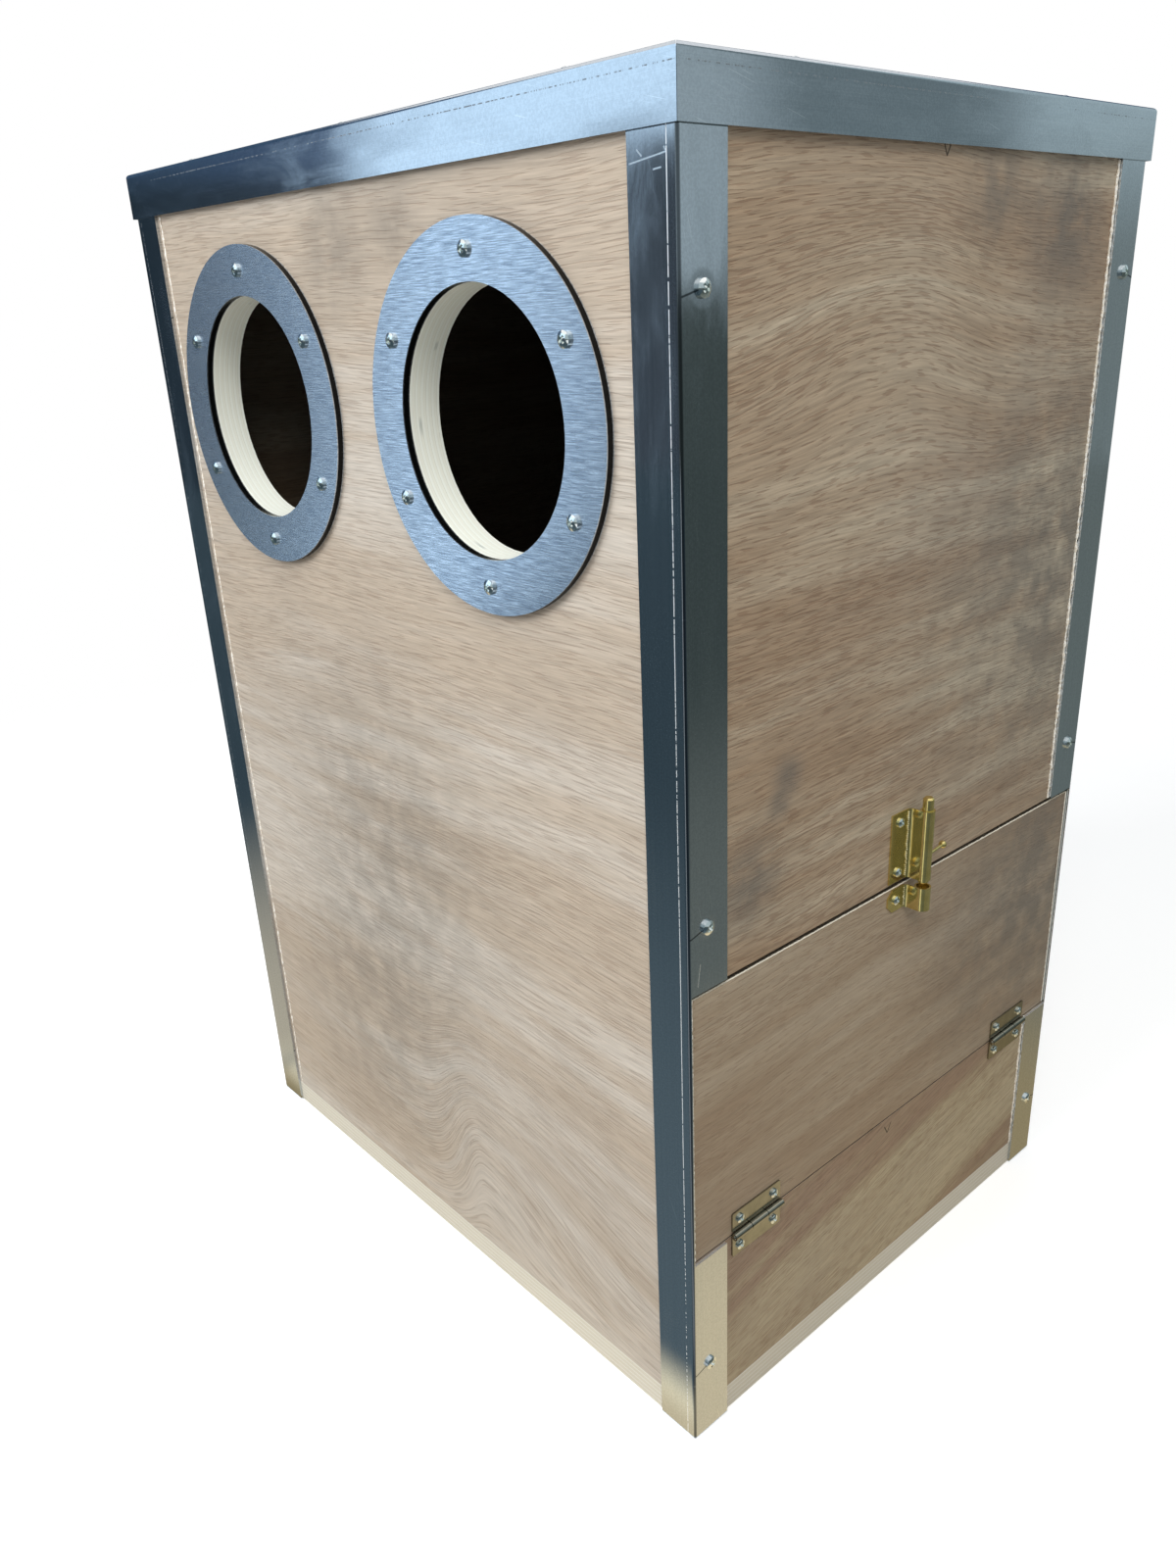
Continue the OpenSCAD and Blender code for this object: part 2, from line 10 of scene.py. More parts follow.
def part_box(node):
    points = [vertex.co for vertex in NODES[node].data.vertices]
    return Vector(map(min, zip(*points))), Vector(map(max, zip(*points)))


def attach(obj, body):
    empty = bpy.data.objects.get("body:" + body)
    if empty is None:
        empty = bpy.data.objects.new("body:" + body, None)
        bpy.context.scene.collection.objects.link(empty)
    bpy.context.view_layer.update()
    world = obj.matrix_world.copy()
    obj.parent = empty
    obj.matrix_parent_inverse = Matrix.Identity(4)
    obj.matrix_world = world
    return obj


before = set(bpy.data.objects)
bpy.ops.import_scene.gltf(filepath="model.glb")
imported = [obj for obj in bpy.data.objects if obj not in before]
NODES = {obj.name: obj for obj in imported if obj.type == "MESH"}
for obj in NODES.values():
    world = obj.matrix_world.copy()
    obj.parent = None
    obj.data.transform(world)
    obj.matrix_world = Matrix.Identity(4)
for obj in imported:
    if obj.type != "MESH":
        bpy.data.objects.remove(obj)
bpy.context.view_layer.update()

MM = 0.001
X, Y, Z = 0, 1, 2

# The photograph's camera in the frame's own axes: metres, pixels of the photograph, millimetres of sensor
CAMERA_PLACE = Vector((0.5523, -0.5061, 0.5720))
CAMERA_RIGHT = Vector((0.67479, 0.73699, -0.03874))
CAMERA_DOWN = Vector((0.26319, -0.28935, -0.92033))
CAMERA_AHEAD = Vector((-0.68948, 0.61084, -0.38922))
PHOTO_HEIGHT = 1600
FOCAL_PIXELS = 1224.03
CENTRE_OFFSET = (19.05, 21.80)
SENSOR_HEIGHT = 36


def frame_edge(name, corner, axis):
    """One coordinate of a CAD node's box: corner 0 is its lowest and 1 its highest."""
    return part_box(name)[corner][axis]


# Places taken from the frame
FRONT_Y = frame_edge("front_panel", 0, Y)
REAR_Y = frame_edge("rear_panel", 1, Y)
LEFT_X = frame_edge("left_side_panel", 0, X)
RIGHT_X = frame_edge("right_upper_panel", 1, X)
ROOF_Z = frame_edge("roof_panel", 1, Z)
TOP_Z = frame_edge("top_trim_front", 1, Z)
TRIM_FOOT_Z = frame_edge("top_trim_front", 0, Z)
WALL_FOOT_Z = frame_edge("front_panel", 0, Z)
SHEET = LEFT_X - frame_edge("corner_angle_front_left", 0, X)
ANGLE_X = RIGHT_X + SHEET
ANGLE_Y = REAR_Y + SHEET
LEG = frame_edge("corner_angle_rear_left", 1, X) + ANGLE_X
UPPER_FOOT_Z = frame_edge("right_upper_panel", 0, Z)
SILL_Z = frame_edge("right_lower_panel", 1, Z)


def linear(r, g, b):
    """A colour from its 0 to 255 screen values."""
    def channel(value):
        share = value / 255
        return share / 12.92 if share <= 0.04045 else ((share + 0.055) / 1.055) ** 2.4
    return (channel(r), channel(g), channel(b), 1)


# Stage and camera

def set_camera():
    data = bpy.data.cameras.new("photo_camera")
    data.sensor_fit = "VERTICAL"
    data.sensor_height = SENSOR_HEIGHT
    data.lens = SENSOR_HEIGHT * FOCAL_PIXELS / PHOTO_HEIGHT
    data.shift_x = -CENTRE_OFFSET[0] / PHOTO_HEIGHT
    data.shift_y = CENTRE_OFFSET[1] / PHOTO_HEIGHT
    camera = bpy.data.objects.new("photo_camera", data)
    bpy.context.scene.collection.objects.link(camera)
    turn = Matrix((CAMERA_RIGHT, -CAMERA_DOWN, -CAMERA_AHEAD)).transposed()
    camera.matrix_world = Matrix.Translation(CAMERA_PLACE) @ turn.to_4x4()
    bpy.context.scene.camera = camera


def node(tree, kind, inputs=None, **settings):
    """A new node, its settings made and its inputs set to values or linked to sockets."""
    made = tree.nodes.new(kind)
    for name, value in settings.items():
        setattr(made, name, value)
    for key, value in (inputs or {}).items():
        if isinstance(value, bpy.types.NodeSocket):
            tree.links.new(value, made.inputs[key])
        else:
            made.inputs[key].default_value = value
    return made


def calc(tree, operation, a, b=0.0):
    """The result of one Math node."""
    made = node(tree, "ShaderNodeMath", {0: a, 1: b}, operation=operation, use_clamp=False)
    return made.outputs[0]


def times(tree, a, b):
    """The product of two values."""
    return calc(tree, "MULTIPLY", a, b)


def plus(tree, a, b):
    """The sum of two values."""
    return calc(tree, "ADD", a, b)


def minus(tree, a, b):
    """The first value less the second."""
    return calc(tree, "SUBTRACT", a, b)


def ramp_value(tree, value, low, high, to_low=0.0, to_high=1.0):
    """A value mapped smoothly from one span to another."""
    made = node(tree, "ShaderNodeMapRange", {0: value, 1: low, 2: high, 3: to_low, 4: to_high},
                interpolation_type="SMOOTHSTEP")
    return made.outputs[0]


def mix_colour(tree, factor, a, b):
    """Two colours mixed by a factor: the first at 0, the second at 1."""
    made = node(tree, "ShaderNodeMix", {0: factor, 6: a, 7: b}, data_type="RGBA", blend_type="MIX")
    return made.outputs[2]


def scaled(tree, colour, share):
    """A colour made lighter or darker by a share."""
    return node(tree, "ShaderNodeVectorMath", {0: colour, 3: share}, operation="SCALE").outputs[0]


def join_axes(tree, x, y, z):
    """A vector from three values."""
    return node(tree, "ShaderNodeCombineXYZ", {0: x, 1: y, 2: z}).outputs[0]


def noise(tree, vector, scale=1.0, detail=3.0, rough=0.5, distortion=0.0):
    """The value of a noise texture."""
    made = node(tree, "ShaderNodeTexNoise", {"Vector": vector, "Scale": scale, "Detail": detail,
                                            "Roughness": rough, "Distortion": distortion})
    return made.outputs[0]


def is_seen(tree):
    """One for camera, glossy and transmission rays, which see the white surround."""
    path = node(tree, "ShaderNodeLightPath")
    seen = calc(tree, "MAXIMUM", path.outputs["Is Camera Ray"], path.outputs["Is Glossy Ray"])
    return calc(tree, "MAXIMUM", seen, path.outputs["Is Transmission Ray"])


WORLD_AMBIENT = (0.93, 0.97, 1.0, 1)
WORLD_STRENGTH = 0.56


def set_world():
    """A white surround that lights the box with a softer ambient."""
    world = bpy.data.worlds.new("white_surround")
    bpy.context.scene.world = world
    world.use_nodes = True
    tree = world.node_tree
    tree.nodes.clear()
    seen = is_seen(tree)
    colour = mix_colour(tree, seen, WORLD_AMBIENT, (1, 1, 1, 1))
    strength = ramp_value(tree, seen, 0, 1, WORLD_STRENGTH, 1)
    surround = node(tree, "ShaderNodeBackground", {"Color": colour, "Strength": strength})
    node(tree, "ShaderNodeOutputWorld", {"Surface": surround.outputs[0]})


FLOOR_RADIUS = 1.6
FLOOR_BOUNCE = (0.50, 0.45, 0.38, 1)
FLOOR_WHITE = (0.98, 0.98, 0.98, 1)
FLOOR_LIFT = 0.30


def floor_paint():
    """White floor that keeps its shadow and fades into the surround."""
    material = bpy.data.materials.new("studio_floor")
    material.use_nodes = True
    tree = material.node_tree
    tree.nodes.clear()
    seen = is_seen(tree)
    place = node(tree, "ShaderNodeTexCoord").outputs["Object"]
    radius = node(tree, "ShaderNodeVectorMath", {0: place}, operation="LENGTH").outputs["Value"]
    paint = node(tree, "ShaderNodeBsdfDiffuse",
                 {"Color": mix_colour(tree, seen, FLOOR_BOUNCE, FLOOR_WHITE)})
    lift = node(tree, "ShaderNodeEmission",
                {"Color": (1, 1, 1, 1), "Strength": times(tree, seen, FLOOR_LIFT)})
    lit = node(tree, "ShaderNodeAddShader", {0: paint.outputs[0], 1: lift.outputs[0]})
    clear = node(tree, "ShaderNodeBsdfTransparent")
    fade = ramp_value(tree, radius, 0.4 * FLOOR_RADIUS, 0.9 * FLOOR_RADIUS)
    surface = node(tree, "ShaderNodeMixShader", {0: fade, 1: lit.outputs[0], 2: clear.outputs[0]})
    node(tree, "ShaderNodeOutputMaterial", {"Surface": surface.outputs[0]})
    return material


def set_floor():
    bpy.ops.mesh.primitive_circle_add(vertices=64, radius=FLOOR_RADIUS, fill_type="NGON")
    floor = bpy.context.object
    floor.name = "studio_floor"
    floor.data.materials.append(floor_paint())


def soft_lamp(name, place, size, power, colour):
    """A square area lamp that faces the middle of the box."""
    data = bpy.data.lights.new(name, "AREA")
    data.size = size
    data.energy = power
    data.color = colour
    lamp = bpy.data.objects.new(name, data)
    lamp.visible_glossy = False
    bpy.context.scene.collection.objects.link(lamp)
    aim = Vector((0, 0, TOP_Z / 2)) - Vector(place)
    lamp.matrix_world = Matrix.Translation(place) @ aim.to_track_quat("-Z", "Y").to_matrix().to_4x4()


def set_lamps():
    soft_lamp("front_softbox", (-0.5, -2.4, 1.9), 1.6, 58, (0.95, 0.98, 1.0))
    soft_lamp("side_softbox", (0.95, -0.75, 1.6), 0.7, 13.5, (1.0, 0.96, 0.90))


WALL_RADIUS = 4.0
WALL_HEIGHT = 3.2
WINDOW = (0.90, 1.17, 1.42, 1)
LEFT_NAVY = (linear(68, 92, 118), linear(76, 96, 124))
LEFT_DARK = (linear(38, 52, 62), linear(66, 74, 82))
RIGHT_DARK = linear(73, 82, 80)
RIGHT_LIGHT = linear(168, 182, 187)
RIGHT_GREY = linear(117, 131, 135)
REAR_LIGHT = linear(178, 196, 201)
REAR_GREY = linear(128, 139, 138)
FLOOR_FRONT = (linear(93, 108, 115), linear(62, 77, 85))
FLOOR_SIDE = (linear(108, 114, 109), linear(70, 79, 77))
FLOOR_REAR = linear(112, 121, 118)
GOLD_FRONT = (1.16, 1.02, 0.71, 1)
GOLD_LEFT = (0.60, 0.53, 0.40, 1)
GOLD_SIDE = (0.82, 0.68, 0.44, 1)
GOLD_REAR = (0.39, 0.31, 0.17, 1)
BRIGHT_LANE = (0.86, 0.90, 0.92, 1)

# Both edges of the mirrored window, as turns in radians from the left wall towards the front
WINDOW_START = (0.590, 0.606)
WINDOW_END = (0.787, 0.770)


def glow(name):
    """A material that only glows, with its tree and the tree's Object coordinates."""
    material = bpy.data.materials.new(name)
    material.use_nodes = True
    tree = material.node_tree
    tree.nodes.clear()
    return material, tree, node(tree, "ShaderNodeTexCoord").outputs["Object"]


def finish_glow(tree, colour):
    shine = node(tree, "ShaderNodeEmission", {"Color": colour})
    node(tree, "ShaderNodeOutputMaterial", {"Surface": shine.outputs[0]})


def wall_cards():
    """The tones of the studio walls that the metal mirrors: dark below, one bright window."""
    material, tree, place = glow("mirrored_walls")
    axes = node(tree, "ShaderNodeSeparateXYZ", {0: place}).outputs
    height = axes[Z]
    minus_x = times(tree, axes[X], -1.0)
    minus_y = times(tree, axes[Y], -1.0)
    turn = calc(tree, "ARCTAN2", minus_y, minus_x)
    start = ramp_value(tree, turn, *WINDOW_START)
    window = times(tree, start, ramp_value(tree, turn, 1.9, 1.5))
    tall_window = times(tree, start, ramp_value(tree, turn, *WINDOW_END))
    navy = mix_colour(tree, ramp_value(tree, turn, 0.43, 0.56), LEFT_NAVY[0], LEFT_NAVY[1])
    left = mix_colour(tree, window, navy, WINDOW)
    dark = mix_colour(tree, ramp_value(tree, turn, 0.35, 0.7), LEFT_DARK[0], LEFT_DARK[1])
    dark = mix_colour(tree, tall_window, dark, WINDOW)
    sill = minus(tree, height, ramp_value(tree, turn, 0.76, 0.82, 0.0, 0.09))
    left = mix_colour(tree, ramp_value(tree, sill, 0.93, 1.03), dark, left)
    round_right = calc(tree, "ARCTAN2", axes[Y], axes[X])
    rear = ramp_value(tree, round_right, 0.975, 1.02)
    dip = times(tree, ramp_value(tree, round_right, 0.77, 0.82), ramp_value(tree, rear, 1, 0))
    light = mix_colour(tree, dip, RIGHT_LIGHT, RIGHT_GREY)
    right = mix_colour(tree, ramp_value(tree, height, 0.54, 0.64), RIGHT_DARK, light)
    rear_wall = mix_colour(tree, ramp_value(tree, height, 0.6, 1.1), REAR_GREY, REAR_LIGHT)
    right = mix_colour(tree, rear, right, rear_wall)
    finish_glow(tree, mix_colour(tree, ramp_value(tree, axes[X], 0.5, -0.5), right, left))
    return material


def floor_cards():
    """The tones of the floor that the metal mirrors: pale and warm close by, dark beyond."""
    material, tree, place = glow("mirrored_floor")
    axes = node(tree, "ShaderNodeSeparateXYZ", {0: place}).outputs
    out_x = minus(tree, calc(tree, "ABSOLUTE", axes[X]), ANGLE_X)
    out_y = minus(tree, calc(tree, "ABSOLUTE", axes[Y]), ANGLE_Y)
    reach = calc(tree, "MAXIMUM", out_x, out_y)
    front = ramp_value(tree, axes[Y], -ANGLE_Y, -ANGLE_Y - 0.02)
    left = times(tree, ramp_value(tree, axes[X], -0.20, -0.30),
                 ramp_value(tree, out_y, 0.38, 0.22))
    beside = minus(tree, axes[X], ANGLE_X)
    rear = ramp_value(tree, minus(tree, axes[Y], times(tree, beside, 1.5)), 0.02, 0.16)

    front_far = mix_colour(tree, ramp_value(tree, reach, 0.1, 0.7), FLOOR_FRONT[0], FLOOR_FRONT[1])
    front_gold = mix_colour(tree, left, GOLD_FRONT, GOLD_LEFT)
    front_near = ramp_value(tree, left, 0, 1, ramp_value(tree, reach, 0.008, 0.036),
                            ramp_value(tree, out_x, 0.05, 0.6))
    front_tone = mix_colour(tree, front_near, front_gold, front_far)
    side_far = mix_colour(tree, ramp_value(tree, reach, 0.4, 1.0), FLOOR_SIDE[0], FLOOR_SIDE[1])
    side_far = mix_colour(tree, rear, side_far, FLOOR_REAR)
    side_gold = mix_colour(tree, rear, GOLD_SIDE, GOLD_REAR)
    side_tone = mix_colour(tree, ramp_value(tree, reach, 0.02, 0.34), side_gold, side_far)
    tone = mix_colour(tree, front, side_tone, front_tone)

    minus_y = times(tree, axes[Y], -1.0)
    slant = calc(tree, "DIVIDE", beside, calc(tree, "MAXIMUM", minus_y, 0.05))
    lane = times(tree, ramp_value(tree, slant, 0.08, 0.14), ramp_value(tree, slant, 0.42, 0.34))
    lane = times(tree, lane, ramp_value(tree, axes[Y], -0.18, -0.23))
    tone = mix_colour(tree, lane, tone, BRIGHT_LANE)
    turn = calc(tree, "ARCTAN2", minus_y, times(tree, axes[X], -1.0))
    window = times(tree, ramp_value(tree, turn, *WINDOW_START),
                   ramp_value(tree, turn, *WINDOW_END))
    window = times(tree, window, ramp_value(tree, reach, 0.8, 1.2))
    finish_glow(tree, mix_colour(tree, window, tone, WINDOW))
    return material


def only_mirrored(card):
    """Keeps a card out of the picture and the lighting, so that only metal mirrors it."""
    card.visible_camera = False
    card.visible_diffuse = False
    card.visible_shadow = False
    card.visible_transmission = False


def set_cards():
    bpy.ops.mesh.primitive_cylinder_add(vertices=48, radius=WALL_RADIUS, depth=WALL_HEIGHT,
                                        end_fill_type="NOTHING", location=(0, 0, WALL_HEIGHT / 2))
    walls = bpy.context.object
    walls.name = "mirrored_walls"
    bpy.ops.object.transform_apply(location=True, rotation=True, scale=True)
    walls.data.materials.append(wall_cards())
    only_mirrored(walls)
    bpy.ops.mesh.primitive_circle_add(vertices=48, radius=WALL_RADIUS, fill_type="NGON",
                                      location=(0, 0, 1 * MM))
    ground = bpy.context.object
    ground.name = "mirrored_floor"
    bpy.ops.object.transform_apply(location=True, rotation=True, scale=True)
    ground.data.materials.append(floor_cards())
    only_mirrored(ground)


# Node groups

def new_group(name, inputs, outputs):
    """An empty shader group with float inputs and the outputs' kinds, and its two end nodes."""
    group = bpy.data.node_groups.new(name, "ShaderNodeTree")
    for label, value in inputs.items():
        socket = group.interface.new_socket(name=label, in_out="INPUT", socket_type="NodeSocketFloat")
        socket.default_value = value
    for label, kind in outputs.items():
        group.interface.new_socket(name=label, in_out="OUTPUT", socket_type="NodeSocket" + kind)
    return group, node(group, "NodeGroupInput").outputs, node(group, "NodeGroupOutput").inputs


def place_group(tree, group, inputs):
    """A group placed in a material with its own values."""
    made = tree.nodes.new("ShaderNodeGroup")
    made.node_tree = group
    for key, value in inputs.items():
        if isinstance(value, bpy.types.NodeSocket):
            tree.links.new(value, made.inputs[key])
        else:
            made.inputs[key].default_value = value
    return made.outputs


def build_veneer_group():
    """Rotary-cut hardwood veneer: broad tone, fine fibre and short dark pores along the grain."""
    group, given, out = new_group(
        "Veneer", {"Along": 0, "Across": 0, "Seed": 0, "Wave": 0.03, "Pore Length": 110,
                   "Ripple": 1.4 * MM, "Fibre Length": 24},
        {"Tone": "Float", "Fibre": "Float", "Fine": "Float", "Pores": "Float", "Height": "Float"})
    along, across, seed = given["Along"], given["Across"], given["Seed"]
    drift = join_axes(group, times(group, along, 2.6), times(group, across, 5.0), seed)
    bend = times(group, minus(group, noise(group, drift, 1.0, 2.0), 0.5), given["Wave"])
    small = join_axes(group, times(group, along, 34.0), times(group, across, 60.0), seed)
    ripple = times(group, minus(group, noise(group, small, 1.0, 1.0), 0.5), given["Ripple"])
    level = plus(group, across, plus(group, bend, ripple))

    def streaks(length, width, shift, detail, rough=0.5):
        vector = join_axes(group, times(group, along, length), times(group, level, width),
                           plus(group, seed, shift))
        return noise(group, vector, 1.0, detail, rough)

    broad = streaks(1.7, 11.0, 3.0, 3.0)
    bands = streaks(5.0, 64.0, 5.0, 3.0)
    tone = plus(group, times(group, broad, 0.65), times(group, bands, 0.35))
    fibre = streaks(given["Fibre Length"], 760.0, 7.0, 2.0, 0.6)
    fine = streaks(60.0, 1450.0, 9.0, 1.0)
    pore_vector = join_axes(group, times(group, along, given["Pore Length"]),
                            times(group, level, 950.0), plus(group, seed, 11.0))
    pore_noise = noise(group, pore_vector, 1.0, 1.0, 0.45)
    density = streaks(5.0, 30.0, 15.0, 2.0)
    limit = ramp_value(group, density, 0.35, 0.65, 0.58, 0.50)
    pores = ramp_value(group, minus(group, pore_noise, limit), 0.0, 0.09)
    raised = minus(group, times(group, fibre, 0.5), pores)
    results = {"Tone": tone, "Fibre": fibre, "Fine": fine, "Pores": pores, "Height": raised}
    for label, value in results.items():
        group.links.new(value, out[label])
    return group


def build_figure_group():
    """A hump in the growth lines: how far they are lifted round a centre, and a mask of the place."""
    group, given, out = new_group(
        "Growth figure", {"Along": 0, "Across": 0, "Before": 0.03, "After": 0.1, "Tall": 0.07, "Rise": 0.05},
        {"Lift": "Float", "Mask": "Float"})
    after = calc(group, "GREATER_THAN", given["Along"], 0.0)
    spread = minus(group, given["After"], given["Before"])
    width = plus(group, given["Before"], times(group, after, spread))
    flat = calc(group, "ABSOLUTE", calc(group, "DIVIDE", given["Along"], width))
    flat = calc(group, "POWER", flat, 2.0)
    high = calc(group, "ABSOLUTE", calc(group, "DIVIDE", given["Across"], given["Tall"]))
    high = calc(group, "POWER", high, 2.0)
    swell = calc(group, "EXPONENT", times(group, plus(group, flat, high), -1.0))
    group.links.new(times(group, swell, given["Rise"]), out["Lift"])
    group.links.new(swell, out["Mask"])
    return group


def build_tick_group():
    """A small pencilled tick, two strokes that meet at their lower end."""
    group, given, out = new_group("Pencil tick", {"Aside": 0, "Up": 0, "Lean": 0.55, "Tall": 6 * MM},
                                  {"Stroke": "Float"})
    arm = times(group, given["Up"], given["Lean"])
    away = calc(group, "ABSOLUTE", minus(group, calc(group, "ABSOLUTE", given["Aside"]), arm))
    line = ramp_value(group, away, 0.65 * MM, 0.3 * MM)
    share = calc(group, "DIVIDE", given["Up"], given["Tall"])
    ends = times(group, ramp_value(group, share, -0.05, 0.0), ramp_value(group, share, 1.0, 0.8))
    group.links.new(times(group, line, ends), out["Stroke"])
    return group


def build_edge_group():
    """The edge of plywood: thin layers with glue lines between them, and a few voids."""
    group, given, out = new_group("Ply edge", {"Depth": 0, "Run": 0, "Seed": 0, "Layer": 1.55 * MM},
                                  {"Layer Tone": "Float", "Glue": "Float", "Void": "Float"})
    wobble_at = join_axes(group, times(group, given["Run"], 14.0), given["Seed"], 0.0)
    wobble = times(group, minus(group, noise(group, wobble_at, 1.0, 2.0), 0.5), 0.5 * MM)
    count = calc(group, "DIVIDE", plus(group, given["Depth"], wobble), given["Layer"])
    layer = calc(group, "FLOOR", count)
    share = calc(group, "FRACT", count)
    grain_at = join_axes(group, times(group, given["Run"], 90.0), times(group, layer, 7.3),
                         times(group, given["Depth"], 900.0))
    grain = noise(group, grain_at, 1.0, 3.0)
    odd = calc(group, "MODULO", calc(group, "ABSOLUTE", layer), 2.0)
    tone = plus(group, times(group, odd, 0.55), times(group, grain, 0.45))
    side = calc(group, "ABSOLUTE", minus(group, share, 0.5))
    glue = ramp_value(group, side, 0.40, 0.49)
    void_at = join_axes(group, times(group, given["Run"], 26.0), times(group, layer, 3.1),
                        plus(group, given["Seed"], 4.0))
    void = times(group, ramp_value(group, noise(group, void_at, 1.0, 2.0), 0.70, 0.76), odd)
    group.links.new(tone, out["Layer Tone"])
    group.links.new(glue, out["Glue"])
    group.links.new(void, out["Void"])
    return group


def build_press_group():
    """The broken line that a folding press leaves beside a fold."""
    group, given, out = new_group("Press line", {"Across": 0, "Along": 0, "Width": 0.36 * MM, "Seed": 0,
                                                 "Gaps": 0.46}, {"Line": "Float"})
    drift_at = join_axes(group, times(group, given["Along"], 9.0), given["Seed"], 0.0)
    drift = times(group, minus(group, noise(group, drift_at, 1.0, 1.0), 0.5), 0.6 * MM)
    away = calc(group, "ABSOLUTE", plus(group, given["Across"], drift))
    band = ramp_value(group, calc(group, "DIVIDE", away, given["Width"]), 0.9, 0.3)
    dash_at = join_axes(group, times(group, given["Along"], 420.0), given["Seed"], 3.0)
    slow_at = join_axes(group, times(group, given["Along"], 6.0), given["Seed"], 8.0)
    slow = ramp_value(group, noise(group, slow_at, 1.0, 1.0), 0.35, 0.65, -0.09, 0.09)
    limit = plus(group, slow, given["Gaps"])
    dashes = ramp_value(group, minus(group, noise(group, dash_at, 1.0, 3.0, 0.6), limit), 0.0, 0.07)
    group.links.new(times(group, band, dashes), out["Line"])
    return group


def build_wear_group():
    """Rolled sheet: fine lines along its length, stray scratches and handling marks."""
    group, given, out = new_group("Sheet wear", {"Along": 0, "Across": 0, "Side": 0, "Seed": 0},
                                  {"Rolling": "Float", "Scratches": "Float", "Handling": "Float"})
    along, across, side, seed = given["Along"], given["Across"], given["Side"], given["Seed"]
    both = plus(group, across, times(group, side, 1.7))
    lines_at = join_axes(group, times(group, along, 5.0), times(group, both, 1400.0), seed)
    rolling = noise(group, lines_at, 1.0, 3.0, 0.6)
    slant = plus(group, times(group, both, 0.8), times(group, along, 0.35))
    run = minus(group, along, times(group, both, 0.5))
    scratch_at = join_axes(group, times(group, run, 28.0), times(group, slant, 1100.0), seed)
    scratches = ramp_value(group, noise(group, scratch_at, 1.0, 1.0), 0.72, 0.78)
    patch_at = join_axes(group, times(group, along, 16.0), times(group, both, 40.0), seed)
    handling = noise(group, patch_at, 1.0, 5.0, 0.62, 0.8)
    group.links.new(rolling, out["Rolling"])
    group.links.new(scratches, out["Scratches"])
    group.links.new(handling, out["Handling"])
    return group


def build_cloud_group():
    """Slow patches, for stains and for the change of a finish over a surface."""
    group, given, out = new_group("Patches", {"X": 0, "Y": 0, "Z": 0, "Scale": 6, "Low": 0.45, "High": 0.65},
                                  {"Mask": "Float"})
    vector = join_axes(group, given["X"], given["Y"], given["Z"])
    cloud = node(group, "ShaderNodeTexNoise", {"Vector": vector, "Scale": given["Scale"], "Detail": 4.0,
                                              "Roughness": 0.55}).outputs[0]
    mask = node(group, "ShaderNodeMapRange", {0: cloud, 1: given["Low"], 2: given["High"]})
    group.links.new(mask.outputs[0], out["Mask"])
    return group


VENEER = build_veneer_group()
FIGURE = build_figure_group()
PLY_EDGE = build_edge_group()
TICK = build_tick_group()
PRESS_LINE = build_press_group()
SHEET_WEAR = build_wear_group()
PATCHES = build_cloud_group()


# Materials

def new_material(name, **sockets):
    """A material with one Principled shader, its constants set on the shader's own sockets."""
    material = bpy.data.materials.new(name)
    material.use_nodes = True
    tree = material.node_tree
    shader = tree.nodes["Principled BSDF"]
    for label, value in sockets.items():
        shader.inputs[label.replace("_", " ")].default_value = value
    places = node(tree, "ShaderNodeTexCoord")
    axes = node(tree, "ShaderNodeSeparateXYZ", {0: places.outputs["Object"]}).outputs
    facing = node(tree, "ShaderNodeSeparateXYZ", {0: places.outputs["Normal"]}).outputs
    return material, tree, shader, axes, facing


def bump(tree, shader, height, distance, strength=1.0):
    """A bump of the given depth in metres on the shader's normal."""
    made = node(tree, "ShaderNodeBump", {"Height": height, "Distance": distance, "Strength": strength})
    tree.links.new(made.outputs[0], shader.inputs["Normal"])


EDGE_CREAM = linear(250, 247, 236)
EDGE_TAN = linear(234, 226, 206)
EDGE_GLUE = linear(176, 156, 128)
# Near black of the voids between the plies, and of the painted shade inside the seams
EDGE_VOID_AND_SEAM_SHADE = linear(40, 28, 18)
# White of the painted light on the front's edges
EDGE_LIT_WHITE = linear(244, 255, 250)
PORE_BROWN = linear(112, 80, 58)
FACE_BUMP = 0.10 * MM

FRONT_TONES = {"pale": linear(193, 184, 173), "body": linear(185, 173, 159), "red": linear(178, 163, 146)}
SIDE_TONES = {"pale": linear(183, 171, 150), "body": linear(169, 152, 130), "red": linear(155, 133, 109)}
DOOR_TONES = {"pale": linear(168, 153, 133), "body": linear(160, 143, 121), "red": linear(150, 130, 108)}
SILL_TONES = {"pale": linear(178, 164, 137), "body": linear(165, 149, 122), "red": linear(147, 124, 104)}

# Painted shade on the inner faces: darkest behind the entries, paler towards the floor, and the heights
# between
INSIDE_SHADE = 0.28
INSIDE_LOW = 0.72
INSIDE_HEIGHTS = (0.22, 0.42)
STAIN_GREY = linear(150, 140, 130)
# Grey of the smudges, and of the painted shade towards the rear of the right side
SMUDGE_AND_SHADE_GREY = linear(104, 100, 94)
PENCIL = linear(62, 52, 42)


